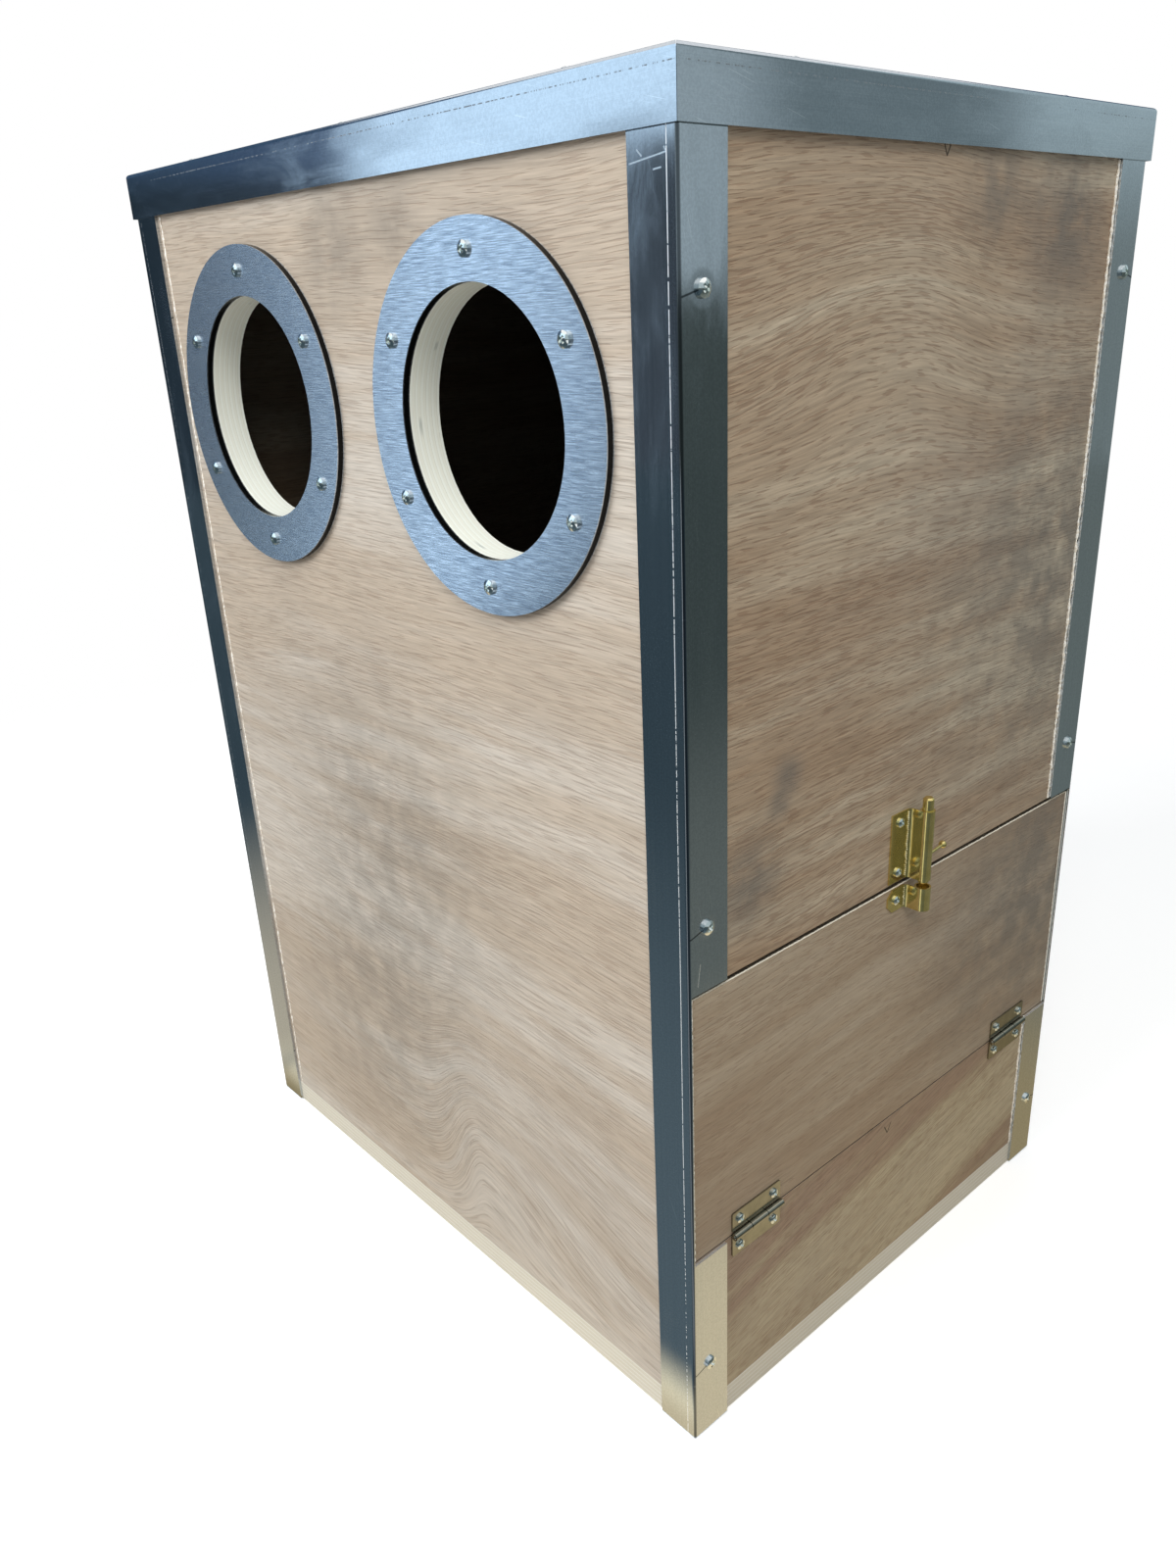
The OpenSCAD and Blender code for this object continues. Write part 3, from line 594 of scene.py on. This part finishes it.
def plywood(name, tones, thick, outer, grain, seed, wave=0.03, slope=0.0, figure=None, stain=0.25,
            contrast=1.0, pores=0.32, pore_length=110, edge_light_scale=1.0, smudges_and_shade=(), tick=None, worn=None,
            painted_seam_shade=None, edge_lit_share=0.0, ripple=1.4 * MM, fibre_length=24, inside=INSIDE_SHADE):
    """Plywood with its thickness along one axis and the face grain along another.

    Lengths are in metres. figure is a hump in the grain: its centre along and across, its reach before and
    after the centre, its height and its lift. smudges are (along, across, reach, strength): grey marks, and
    large ones that paint the shade falling off towards the rear. tick is (along, up, height), worn is the
    distance of the worn edges from the middle, and the seam shade is the span of depth in the edge that is
    painted dark as the shade inside a seam's gap.
    """
    material, tree, shader, axes, facing = new_material(name, Roughness=0.55, Specular_IOR_Level=0.35)
    rise = ({X, Y, Z} - {thick, grain}).pop()
    along = axes[grain]
    across = plus(tree, axes[rise], times(tree, along, slope))
    swell = None
    if figure:
        centre_along, centre_across, before, after, tall, lift = figure
        hump = place_group(tree, FIGURE, {"Along": minus(tree, along, centre_along),
                                          "Across": minus(tree, axes[rise], centre_across),
                                          "Before": before, "After": after, "Tall": tall, "Rise": lift})
        across = minus(tree, across, hump["Lift"])
        swell = hump["Mask"]
    veneer = place_group(tree, VENEER, {"Along": along, "Across": across, "Seed": seed, "Wave": wave,
                                        "Pore Length": pore_length, "Ripple": ripple,
                                        "Fibre Length": fibre_length})
    colour = mix_colour(tree, ramp_value(tree, veneer["Tone"], 0.44, 0.60), tones["body"], tones["red"])
    colour = mix_colour(tree, ramp_value(tree, veneer["Tone"], 0.52, 0.38), colour, tones["pale"])
    if swell:
        colour = mix_colour(tree, times(tree, swell, 0.35), colour, tones["pale"])
    fibre = ramp_value(tree, veneer["Fibre"], 0.32, 0.66, 1 - 0.13 * contrast, 1 + 0.10 * contrast)
    fine = ramp_value(tree, veneer["Fine"], 0.32, 0.66, 1 - 0.07 * contrast, 1 + 0.06 * contrast)
    colour = scaled(tree, colour, times(tree, fibre, fine))
    patches = place_group(tree, PATCHES, {"X": axes[X], "Y": axes[Y], "Z": axes[Z], "Scale": 5.5,
                                          "Low": 0.48, "High": 0.72})
    colour = mix_colour(tree, times(tree, patches["Mask"], stain), colour, STAIN_GREY)
    colour = mix_colour(tree, times(tree, veneer["Pores"], pores), colour, PORE_BROWN)
    # Smudges: grey marks, and large ones that paint the shade falling off towards the rear of the right side
    for place_along, place_rise, reach, strength in smudges_and_shade:
        gone = join_axes(tree, minus(tree, along, place_along),
                         minus(tree, axes[rise], place_rise), 0.0)
        far = node(tree, "ShaderNodeVectorMath", {0: gone}, operation="LENGTH").outputs["Value"]
        rub = place_group(tree, PATCHES, {"X": axes[X], "Y": axes[Y], "Z": axes[Z], "Scale": 60,
                                          "Low": 0.20, "High": 0.60})
        mask = times(tree, ramp_value(tree, far, reach, 0.0), rub["Mask"])
        colour = mix_colour(tree, times(tree, mask, strength), colour, SMUDGE_AND_SHADE_GREY)
    if tick:
        stroke = place_group(tree, TICK, {"Aside": minus(tree, along, tick[0]),
                                          "Up": minus(tree, axes[rise], tick[1]), "Tall": tick[2]})
        colour = mix_colour(tree, times(tree, stroke["Stroke"], 0.9), colour, PENCIL)
    if worn:
        inward = minus(tree, worn, calc(tree, "ABSOLUTE", along))
        rag_at = join_axes(tree, times(tree, axes[rise], 420.0), times(tree, along, 420.0), seed)
        rag = noise(tree, rag_at, 1.0, 2.0)
        chip = times(tree, ramp_value(tree, inward, 4.5 * MM, 2.0 * MM), ramp_value(tree, rag, 0.58, 0.66))
        colour = mix_colour(tree, times(tree, chip, 0.6), colour, PORE_BROWN)
        ragged = plus(tree, inward, times(tree, rag, -2.0 * MM))
        colour = mix_colour(tree, ramp_value(tree, ragged, 0.6 * MM, 0.1 * MM), colour, EDGE_CREAM)
    # Painted shade: faces towards the inside of the box are darkened, less towards the floor
    inner = times(tree, facing[thick], -1.0 if outer > 0 else 1.0)
    shade = ramp_value(tree, axes[Z], *INSIDE_HEIGHTS, INSIDE_LOW, inside)
    colour = scaled(tree, colour, ramp_value(tree, inner, 0.4, 0.8, 1.0, shade))

    depth = calc(tree, "ABSOLUTE", minus(tree, axes[thick], outer))
    run = plus(tree, along, times(tree, axes[rise], 0.77))
    layers = place_group(tree, PLY_EDGE, {"Depth": depth, "Run": run, "Seed": seed})
    edge = mix_colour(tree, layers["Layer Tone"], EDGE_CREAM, EDGE_TAN)
    edge = mix_colour(tree, times(tree, layers["Glue"], 0.55), edge, EDGE_GLUE)
    edge = mix_colour(tree, layers["Void"], edge, EDGE_VOID_AND_SEAM_SHADE)
    # Painted light and shade on the edges: the front's are mixed towards white, as on its lit hole walls, and
    # scaled lighter; the floor's are scaled darker
    edge = scaled(tree, mix_colour(tree, edge_lit_share, edge, EDGE_LIT_WHITE), edge_light_scale)
    # Painted seam shade: a span of depth in the edge painted nearly black for the shade inside a seam's gap,
    # its boundary ragged
    if painted_seam_shade:
        first, last = painted_seam_shade
        seam_shade_rag_at = join_axes(tree, times(tree, run, 260.0), seed, 0.0)
        seam_shade_rag = times(tree, minus(tree, noise(tree, seam_shade_rag_at, 1.0, 3.0, 0.6), 0.5), first * 1.6)
        depth = plus(tree, depth, seam_shade_rag)
        within = times(tree, ramp_value(tree, depth, first - 0.15 * MM, first + 0.15 * MM),
                       ramp_value(tree, depth, last + 0.15 * MM, last - 0.15 * MM))
        edge = mix_colour(tree, times(tree, within, 0.94), edge, EDGE_VOID_AND_SEAM_SHADE)
    on_face = ramp_value(tree, calc(tree, "ABSOLUTE", facing[thick]), 0.6, 0.8)
    tree.links.new(mix_colour(tree, on_face, edge, colour), shader.inputs["Base Color"])
    raised = mix_colour(tree, on_face, layers["Layer Tone"], veneer["Height"])
    bump(tree, shader, raised, FACE_BUMP)
    return material


ALU_TINT = linear(206, 212, 218)
ALU_ROLLED = linear(198, 205, 212)
ALU_LINE = linear(246, 248, 250)
# Dark grey: the painted shade along the angles' folds, and the dark press lines on the trims and the scribes
FOLD_SHADE_AND_MARK_DARK = linear(70, 76, 82)

# Heights of the angle screws, evenly spaced, and their distance from the middle
ANGLE_SCREWS = (48 * MM, 311 * MM)
ANGLE_SCREW_Y = ANGLE_Y - 12 * MM


def aluminium(name, along, press, seed, mark, corner=None, nicks=()):
    """Mill-finish sheet folded along one axis.

    press holds the lines beside its fold as (axis, place, face); mark is their (colour, strength, gaps);
    corner is the fold's place in x and y; nicks are its scratches, as in ANGLE_NICKS.
    """
    material, tree, shader, axes, facing = new_material(name, Metallic=1.0)
    across, side = sorted({X, Y, Z} - {along})
    wear = place_group(tree, SHEET_WEAR, {"Along": axes[along], "Across": axes[across], "Side": axes[side],
                                          "Seed": seed})
    colour = mix_colour(tree, ramp_value(tree, wear["Rolling"], 0.3, 0.7), ALU_ROLLED, ALU_TINT)
    peel = noise(tree, join_axes(tree, axes[X], axes[Y], axes[Z]), 950.0, 1.0)
    colour = scaled(tree, colour, ramp_value(tree, peel, 0.35, 0.65, 0.95, 1.04))
    colour = mix_colour(tree, times(tree, wear["Scratches"], 0.5), colour, ALU_LINE)
    rough = ramp_value(tree, wear["Handling"], 0.40, 0.72, 0.07, 0.15)
    rough = plus(tree, rough, times(tree, wear["Rolling"], 0.04))
    metal = 1.0
    for axis, place, face in press:
        line = place_group(tree, PRESS_LINE, {"Across": minus(tree, axes[axis], place),
                                              "Along": axes[along], "Seed": seed + 2, "Gaps": mark[2]})
        outside = times(tree, facing[face], calc(tree, "SIGN", axes[face]))
        shown = times(tree, line["Line"], ramp_value(tree, outside, 0.8, 0.95))
        shown = times(tree, shown, mark[1])
        colour = mix_colour(tree, shown, colour, mark[0])
        rough = plus(tree, rough, times(tree, shown, 0.35))
        metal = minus(tree, 1.0, times(tree, shown, 0.55))
    if corner:
        # Painted shade along the fold: a dark band close to the corner, with pale flecks along it
        gone = join_axes(tree, minus(tree, axes[X], corner[X]),
                         minus(tree, axes[Y], corner[Y]), 0.0)
        far = node(tree, "ShaderNodeVectorMath", {0: gone}, operation="LENGTH").outputs["Value"]
        fold = ramp_value(tree, far, 1.5 * MM, 0.9 * MM)
        fleck = noise(tree, join_axes(tree, seed, 0.0, times(tree, axes[Z], 330.0)), 1.0, 2.0)
        tone = mix_colour(tree, ramp_value(tree, fleck, 0.66, 0.72), FOLD_SHADE_AND_MARK_DARK, ALU_LINE)
        colour = mix_colour(tree, times(tree, fold, 0.85), colour, tone)

        pitch = ANGLE_SCREWS[1] - ANGLE_SCREWS[0]
        steps = calc(tree, "DIVIDE", minus(tree, axes[Z], ANGLE_SCREWS[0] - pitch / 2), pitch)
        up = times(tree, minus(tree, calc(tree, "FRACT", steps), 0.5), pitch)
        aside = minus(tree, axes[Y], math.copysign(ANGLE_SCREW_Y, corner[Y]))
        on_side = ramp_value(tree, calc(tree, "ABSOLUTE", facing[X]), 0.8, 0.95)
        round_screw = node(tree, "ShaderNodeVectorMath", {0: join_axes(tree, aside, up, 0.0)},
                           operation="LENGTH").outputs["Value"]
        rub = times(tree, ramp_value(tree, round_screw, 8.0 * MM, 4.0 * MM), on_side)
        rough = plus(tree, rough, times(tree, rub, 0.16))
        outward = times(tree, aside, math.copysign(1.0, corner[Y]))
        lean = calc(tree, "ABSOLUTE", plus(tree, up, times(tree, outward, 0.25)))
        scribe = times(tree, ramp_value(tree, lean, 0.55 * MM, 0.25 * MM),
                       ramp_value(tree, outward, 2.0 * MM, 3.0 * MM))
        scribe = times(tree, scribe, on_side)
        colour = mix_colour(tree, times(tree, scribe, 0.85), colour, FOLD_SHADE_AND_MARK_DARK)
    for face, aside_axis, start, end in nicks:
        run = (end[0] - start[0], end[1] - start[1])
        length = math.hypot(*run)
        u = minus(tree, axes[aside_axis], start[0])
        v = minus(tree, axes[Z], start[1])
        on_line = plus(tree, times(tree, u, run[0] / length),
                       times(tree, v, run[1] / length))
        off_line = plus(tree, times(tree, u, -run[1] / length),
                        times(tree, v, run[0] / length))
        cut = ramp_value(tree, calc(tree, "ABSOLUTE", off_line), 0.38 * MM, 0.10 * MM)
        cut = times(tree, cut, ramp_value(tree, on_line, 0.0, 0.5 * MM))
        cut = times(tree, cut, ramp_value(tree, on_line, length, length - 0.5 * MM))
        cut = times(tree, cut, ramp_value(tree, calc(tree, "ABSOLUTE", facing[face]), 0.8, 0.95))
        colour = mix_colour(tree, cut, colour, ALU_LINE)
        rough = plus(tree, rough, times(tree, cut, 0.5))
    sawn = ramp_value(tree, calc(tree, "ABSOLUTE", facing[along]), 0.7, 0.9)
    rough = ramp_value(tree, sawn, 0, 1, rough, 0.5)
    tree.links.new(mix_colour(tree, sawn, colour, ALU_LINE), shader.inputs["Base Color"])
    tree.links.new(rough, shader.inputs["Roughness"])
    if press:
        tree.links.new(metal, shader.inputs["Metallic"])
    height = plus(tree, times(tree, wear["Rolling"], 0.12),
                  times(tree, wear["Handling"], 0.30))
    bump(tree, shader, height, 0.05 * MM, 0.30)
    return material


# The rings' sheet: half its thickness, and how far the black core reaches from its middle
RING_HALF = 2.0 * MM
CORE_HALF = (1.52 * MM, 1.44 * MM)
CORE_BLACK = linear(9, 10, 11)
SKIN_METAL = 0.95
SKIN_DARK = linear(164, 178, 196)
SKIN_LIGHT = linear(230, 240, 252)
SKIN_PATCH = linear(236, 242, 250)


def composite_sheet():
    """Brushed metal skins on a black core, seen at the ring's edges."""
    material, tree, shader, axes, facing = new_material("composite_sheet", Metallic=SKIN_METAL,
                                                        Specular_IOR_Level=0.15)
    brush_at = join_axes(tree, times(tree, axes[X], 80.0), times(tree, axes[Y], 80.0),
                         times(tree, axes[Z], 2100.0))
    brush = noise(tree, brush_at, 1.0, 4.0, 0.6)
    slow = noise(tree, join_axes(tree, times(tree, axes[X], 22.0), 0.0,
                                 times(tree, axes[Z], 160.0)), 1.0, 2.0)
    skin = mix_colour(tree, ramp_value(tree, brush, 0.33, 0.67), SKIN_DARK, SKIN_LIGHT)
    skin = mix_colour(tree, ramp_value(tree, slow, 0.35, 0.7, 0.0, 0.15), skin, SKIN_PATCH)
    depth = minus(tree, FRONT_Y, axes[Y])
    middle = calc(tree, "ABSOLUTE", minus(tree, depth, RING_HALF))
    inside = ramp_value(tree, middle, *CORE_HALF)
    on_rim = ramp_value(tree, calc(tree, "ABSOLUTE", facing[Y]), 0.7, 0.5)
    core = times(tree, inside, on_rim)
    tree.links.new(mix_colour(tree, core, skin, CORE_BLACK), shader.inputs["Base Color"])
    tree.links.new(times(tree, minus(tree, 1.0, core), SKIN_METAL), shader.inputs["Metallic"])
    tree.links.new(ramp_value(tree, brush, 0.3, 0.7, 0.28, 0.20), shader.inputs["Roughness"])
    bump(tree, shader, brush, 0.04 * MM, 1.0)
    return material


def plated(name, light, dark, rough, grain, metal=1.0):
    """A plated fitting: slow tone and a little unevenness in its polish."""
    material, tree, shader, axes, _ = new_material(name, Metallic=metal)
    patches = place_group(tree, PATCHES, {"X": axes[X], "Y": axes[Y], "Z": axes[Z], "Scale": grain,
                                          "Low": 0.35, "High": 0.65})
    tree.links.new(mix_colour(tree, patches["Mask"], dark, light), shader.inputs["Base Color"])
    tree.links.new(ramp_value(tree, patches["Mask"], 0, 1, rough + 0.05, rough), shader.inputs["Roughness"])
    bump(tree, shader, patches["Mask"], 0.01 * MM, 0.3)
    return material


def sawn_timber():
    """Pale softwood with growth lines along each cleat."""
    material, tree, shader, axes, _ = new_material("sawn_timber", Roughness=0.7)
    veneer = place_group(tree, VENEER, {"Along": axes[X], "Across": axes[Z], "Seed": 31, "Wave": 0.02,
                                        "Pore Length": 60})
    colour = mix_colour(tree, ramp_value(tree, veneer["Tone"], 0.35, 0.65), linear(222, 196, 156),
                        linear(196, 160, 116))
    tree.links.new(mix_colour(tree, times(tree, veneer["Pores"], 0.3), colour, PORE_BROWN),
                   shader.inputs["Base Color"])
    bump(tree, shader, veneer["Height"], 0.15 * MM)
    return material


def dress(material, *names):
    """Gives CAD nodes their finish."""
    for name in names:
        slots = NODES[name].data.materials
        slots.clear()
        slots.append(material)


def dress_plywood():
    front = plywood("front_ply", FRONT_TONES, Y, FRONT_Y, X, 1.0,
                    figure=(0.045, 0.10, 0.035, 0.12, 0.07, 0.055), contrast=0.8, pores=0.20,
                    # Painted light on its edges, the hole walls lit whiter
                    pore_length=50, edge_light_scale=1.04, edge_lit_share=0.5, ripple=0.5 * MM,
                    smudges_and_shade=[(-0.01, 0.60, 0.05, 0.45), (0.045, 0.605, 0.03, 0.45), (-0.06, 0.15, 0.15, 0.4),
                             (-0.02, 0.28, 0.16, 0.45)])
    dress(front, "front_panel")
    dress(plywood("rear_ply", FRONT_TONES, Y, REAR_Y, X, 9.0, contrast=0.6, pores=0.3), "rear_panel")
    dress(plywood("left_ply", SIDE_TONES, X, LEFT_X, Y, 17.0), "left_side_panel")
    upper = plywood("right_upper_ply", SIDE_TONES, X, RIGHT_X, Y, 23.0, 0.04, 0.0,
                    figure=(-0.030, 0.555, 0.09, 0.06, 0.065, 0.022), tick=(-7 * MM, 622.3 * MM, 9 * MM),
                    contrast=1.15, pores=0.34, pore_length=85,
                    # The largest smudge paints the shade falling off towards the rear; the others are grey
                    # marks
                    smudges_and_shade=[(0.035, 0.61, 0.04, 0.7), (0.10, 0.60, 0.06, 0.8), (-0.13, 0.32, 0.04, 0.7),
                             (0.13, 0.42, 0.20, 0.75), (-0.1035, 0.3664, 0.017, 0.75),
                             (-0.1108, 0.3535, 0.012, 0.7)])
    dress(upper, "right_upper_panel")
    # The door's edges get painted seam shade at the depth of its seams' gaps
    door = plywood("door_ply", DOOR_TONES, X, RIGHT_X, Y, 37.0, contrast=0.65, pores=0.22,
                   # inside: only a little painted shade on the door's inner face
                   worn=170.5 * MM, painted_seam_shade=(1.1 * MM, 3.6 * MM), inside=0.85,
                   # Its one smudge paints the shade falling off towards the rear
                   smudges_and_shade=[(0.14, 0.22, 0.17, 0.7)])
    dress(door, "door_panel")
    sill = plywood("sill_ply", SILL_TONES, X, RIGHT_X, Y, 41.0, 0.05, -0.2,
                   # Painted seam shade in its edges, under the door's lower seam
                   tick=(-5 * MM, 110 * MM, 6.5 * MM), painted_seam_shade=(0.02 * MM, 2.2 * MM))
    dress(sill, "right_lower_panel")
    dress(plywood("roof_ply", FRONT_TONES, Z, ROOF_Z, X, 53.0), "roof_panel")
    # Painted shade on the floor panel's edges, scaled darker
    dress(plywood("floor_ply", FRONT_TONES, Z, 0.0, X, 61.0, edge_light_scale=0.75), "floor_panel")


# Distance of the press lines from the sheet's edge or corner
PRESS_INSET = 5.5 * MM

# Scratches in the front right angle: the face's axis, the axis across it, and both ends in metres
ANGLE_NICKS = ((Y, X, (0.2022, 0.6156), (0.2210, 0.6179)), (Y, X, (0.2062, 0.6199), (0.2089, 0.6174)),
               (Y, X, (0.2142, 0.6129), (0.2187, 0.6133)), (Y, X, (0.2199, 0.6198), (0.2208, 0.6181)),
               (X, Y, (-0.1669, 0.2821), (-0.1650, 0.2940)))


def dress_metal():
    trim_line = TOP_Z - PRESS_INSET
    across = aluminium("trim_front", X, [(Z, trim_line, Y)], 2.0, (FOLD_SHADE_AND_MARK_DARK, 0.7, 0.48))
    dress(across, "top_trim_front", "top_trim_rear")
    deep = aluminium("trim_side", Y, [(Z, trim_line, X)], 5.0, (FOLD_SHADE_AND_MARK_DARK, 0.6, 0.50))
    dress(deep, "top_trim_left", "top_trim_right")
    for name, side_x, side_y, seed in (("front_left", -1, -1, 8.0), ("front_right", 1, -1, 11.0),
                                       ("rear_left", -1, 1, 14.0), ("rear_right", 1, 1, 19.0)):
        lines = [(X, side_x * (ANGLE_X - PRESS_INSET), Y)]
        corner = (side_x * ANGLE_X, side_y * ANGLE_Y)
        mark = (ALU_LINE, 1.0, 0.40) if side_x > 0 else (ALU_LINE, 0.35, 0.46)
        nicks = ANGLE_NICKS if name == "front_right" else ()
        dress(aluminium("angle_" + name, Z, lines, seed, mark, corner, nicks), "corner_angle_" + name)
    dress(composite_sheet(), "entry_ring_left", "entry_ring_right")


def dress_fittings():
    screw = plated("zinc_screw", linear(252, 254, 252), linear(226, 234, 232), 0.10, 500)
    hinge = plated("zinc_hinge", linear(154, 152, 138), linear(142, 140, 127), 0.14, 160)
    brass = plated("brass", linear(232, 212, 142), linear(218, 198, 124), 0.10, 160, 0.92)
    for name in NODES:
        if "screw" in name:
            dress(screw, name)
        elif name.startswith("hinge"):
            dress(hinge, name)
        elif name.startswith("bolt"):
            dress(brass, name)
    timber = sawn_timber()
    dress(timber, *[name for name in NODES if name.startswith("climbing_cleat")])


# Pieces of the scene alone

def start_piece():
    """Leaves nothing selected, so that the next primitive is a new object."""
    bpy.ops.object.select_all(action="DESELECT")


def finish_piece(name, material, body):
    """Names a piece, puts its place into its mesh, gives it its finish and its body."""
    piece = bpy.context.object
    piece.name = name
    bpy.ops.object.transform_apply(location=True, rotation=True, scale=True)
    piece.data.materials.clear()
    piece.data.materials.append(material)
    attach(piece, body)


def dried_adhesive():
    material, tree, shader, axes, _ = new_material("dried_adhesive", Roughness=0.6)
    spots = noise(tree, join_axes(tree, axes[X], axes[Y], axes[Z]), 700.0, 3.0)
    tone = mix_colour(tree, ramp_value(tree, spots, 0.35, 0.62), linear(252, 251, 246), linear(222, 212, 196))
    tree.links.new(tone, shader.inputs["Base Color"])
    bump(tree, shader, spots, 0.15 * MM)
    return material


BEAD_VOXEL = 0.6 * MM
LUMP_SIZE = 3.5 * MM
LUMP_HEIGHT = 1.5 * MM


def ragged_bead(name, middle, size, material):
    """A line of adhesive squeezed out beside an angle, half sunk in the plywood."""
    start_piece()
    bpy.ops.mesh.primitive_cube_add(size=1, location=middle, scale=size)
    bpy.ops.object.transform_apply(location=True, rotation=True, scale=True)
    bead = bpy.context.object
    mesher = bead.modifiers.new("even_faces", "REMESH")
    mesher.mode = "VOXEL"
    mesher.voxel_size = BEAD_VOXEL
    lumps = bpy.data.textures.new(name + "_lumps", "CLOUDS")
    lumps.noise_scale = LUMP_SIZE
    lumps.noise_depth = 2
    swell = bead.modifiers.new("lumps", "DISPLACE")
    swell.texture = lumps
    swell.texture_coords = "LOCAL"
    swell.strength = LUMP_HEIGHT
    swell.mid_level = 0.62
    for step in ("even_faces", "lumps"):
        bpy.ops.object.modifier_apply(modifier=step)
    bpy.ops.object.shade_smooth()
    finish_piece(name, material, "box")


def set_beads():
    """Three lines of adhesive: beside the rear right angle above and below, and beside the front left one."""
    adhesive = dried_adhesive()
    rear_edge = ANGLE_Y - LEG
    left_edge = LEG - ANGLE_X
    tall = TRIM_FOOT_Z - UPPER_FOOT_Z
    middle = (RIGHT_X + 0.2 * MM, rear_edge - 1.2 * MM, UPPER_FOOT_Z + tall / 2)
    ragged_bead("adhesive_rear_right", middle, (1.5 * MM, 2.4 * MM, tall), adhesive)
    tall = SILL_Z - WALL_FOOT_Z
    middle = (RIGHT_X + 0.1 * MM, rear_edge - 1.0 * MM, WALL_FOOT_Z + tall / 2)
    ragged_bead("adhesive_rear_low", middle, (1.3 * MM, 1.9 * MM, tall), adhesive)
    tall = TRIM_FOOT_Z - WALL_FOOT_Z
    middle = (left_edge + 4.0 * MM, FRONT_Y - 0.1 * MM, WALL_FOOT_Z + tall / 2)
    ragged_bead("adhesive_front_left", middle, (1.6 * MM, 1.1 * MM, tall), adhesive)


# The bend of the bolt's sheet, and the beads along it
BEND_X = RIGHT_X + 1.15 * MM
BEND_Y = -5.5 * MM
EMBOSS_PITCH = 1.15 * MM
EMBOSS_RADII = (0.38, 0.62)
EMBOSS_DRIFT = 0.35
EMBOSS_MARGIN = 1.2 * MM


def embossed_row(name, low, high, body, brass, draw):
    """Small raised beads pressed along the bend of the bolt's sheet."""
    start_piece()
    count = round((high - low) / EMBOSS_PITCH)
    for i in range(count):
        z = low + (i + 0.5) * (high - low) / count
        radius = draw.uniform(*EMBOSS_RADII) * MM
        y = BEND_Y + draw.uniform(-EMBOSS_DRIFT, EMBOSS_DRIFT) * MM
        if i == 1:
            bpy.ops.object.mode_set(mode="EDIT")
        bpy.ops.mesh.primitive_ico_sphere_add(subdivisions=2, radius=radius, location=(BEND_X, y, z))
        if i == 0:
            bpy.ops.object.transform_apply(location=True, rotation=True, scale=True)
    bpy.ops.object.mode_set(mode="OBJECT")
    bpy.ops.object.shade_smooth()
    finish_piece(name, brass, body)


def set_embossing():
    # Brass paler than the bolt's, for the small bright ticks along the bend
    brass = plated("pale_brass", linear(255, 250, 226), linear(244, 232, 188), 0.20, 400, 0.8)
    draw = random.Random(7)
    for name, node_name, body in (("bolt_plate_embossing", "bolt_barrel", "box"),
                                  ("bolt_keeper_embossing", "bolt_keeper", "door")):
        low = frame_edge(node_name, 0, Z) + EMBOSS_MARGIN
        high = frame_edge(node_name, 1, Z) - EMBOSS_MARGIN
        embossed_row(name, low, high, body, brass, draw)


set_camera()
set_world()
set_floor()
set_lamps()
set_cards()
dress_plywood()
dress_metal()
dress_fittings()
set_beads()
set_embossing()

bpy.context.scene.view_settings.view_transform = "Standard"
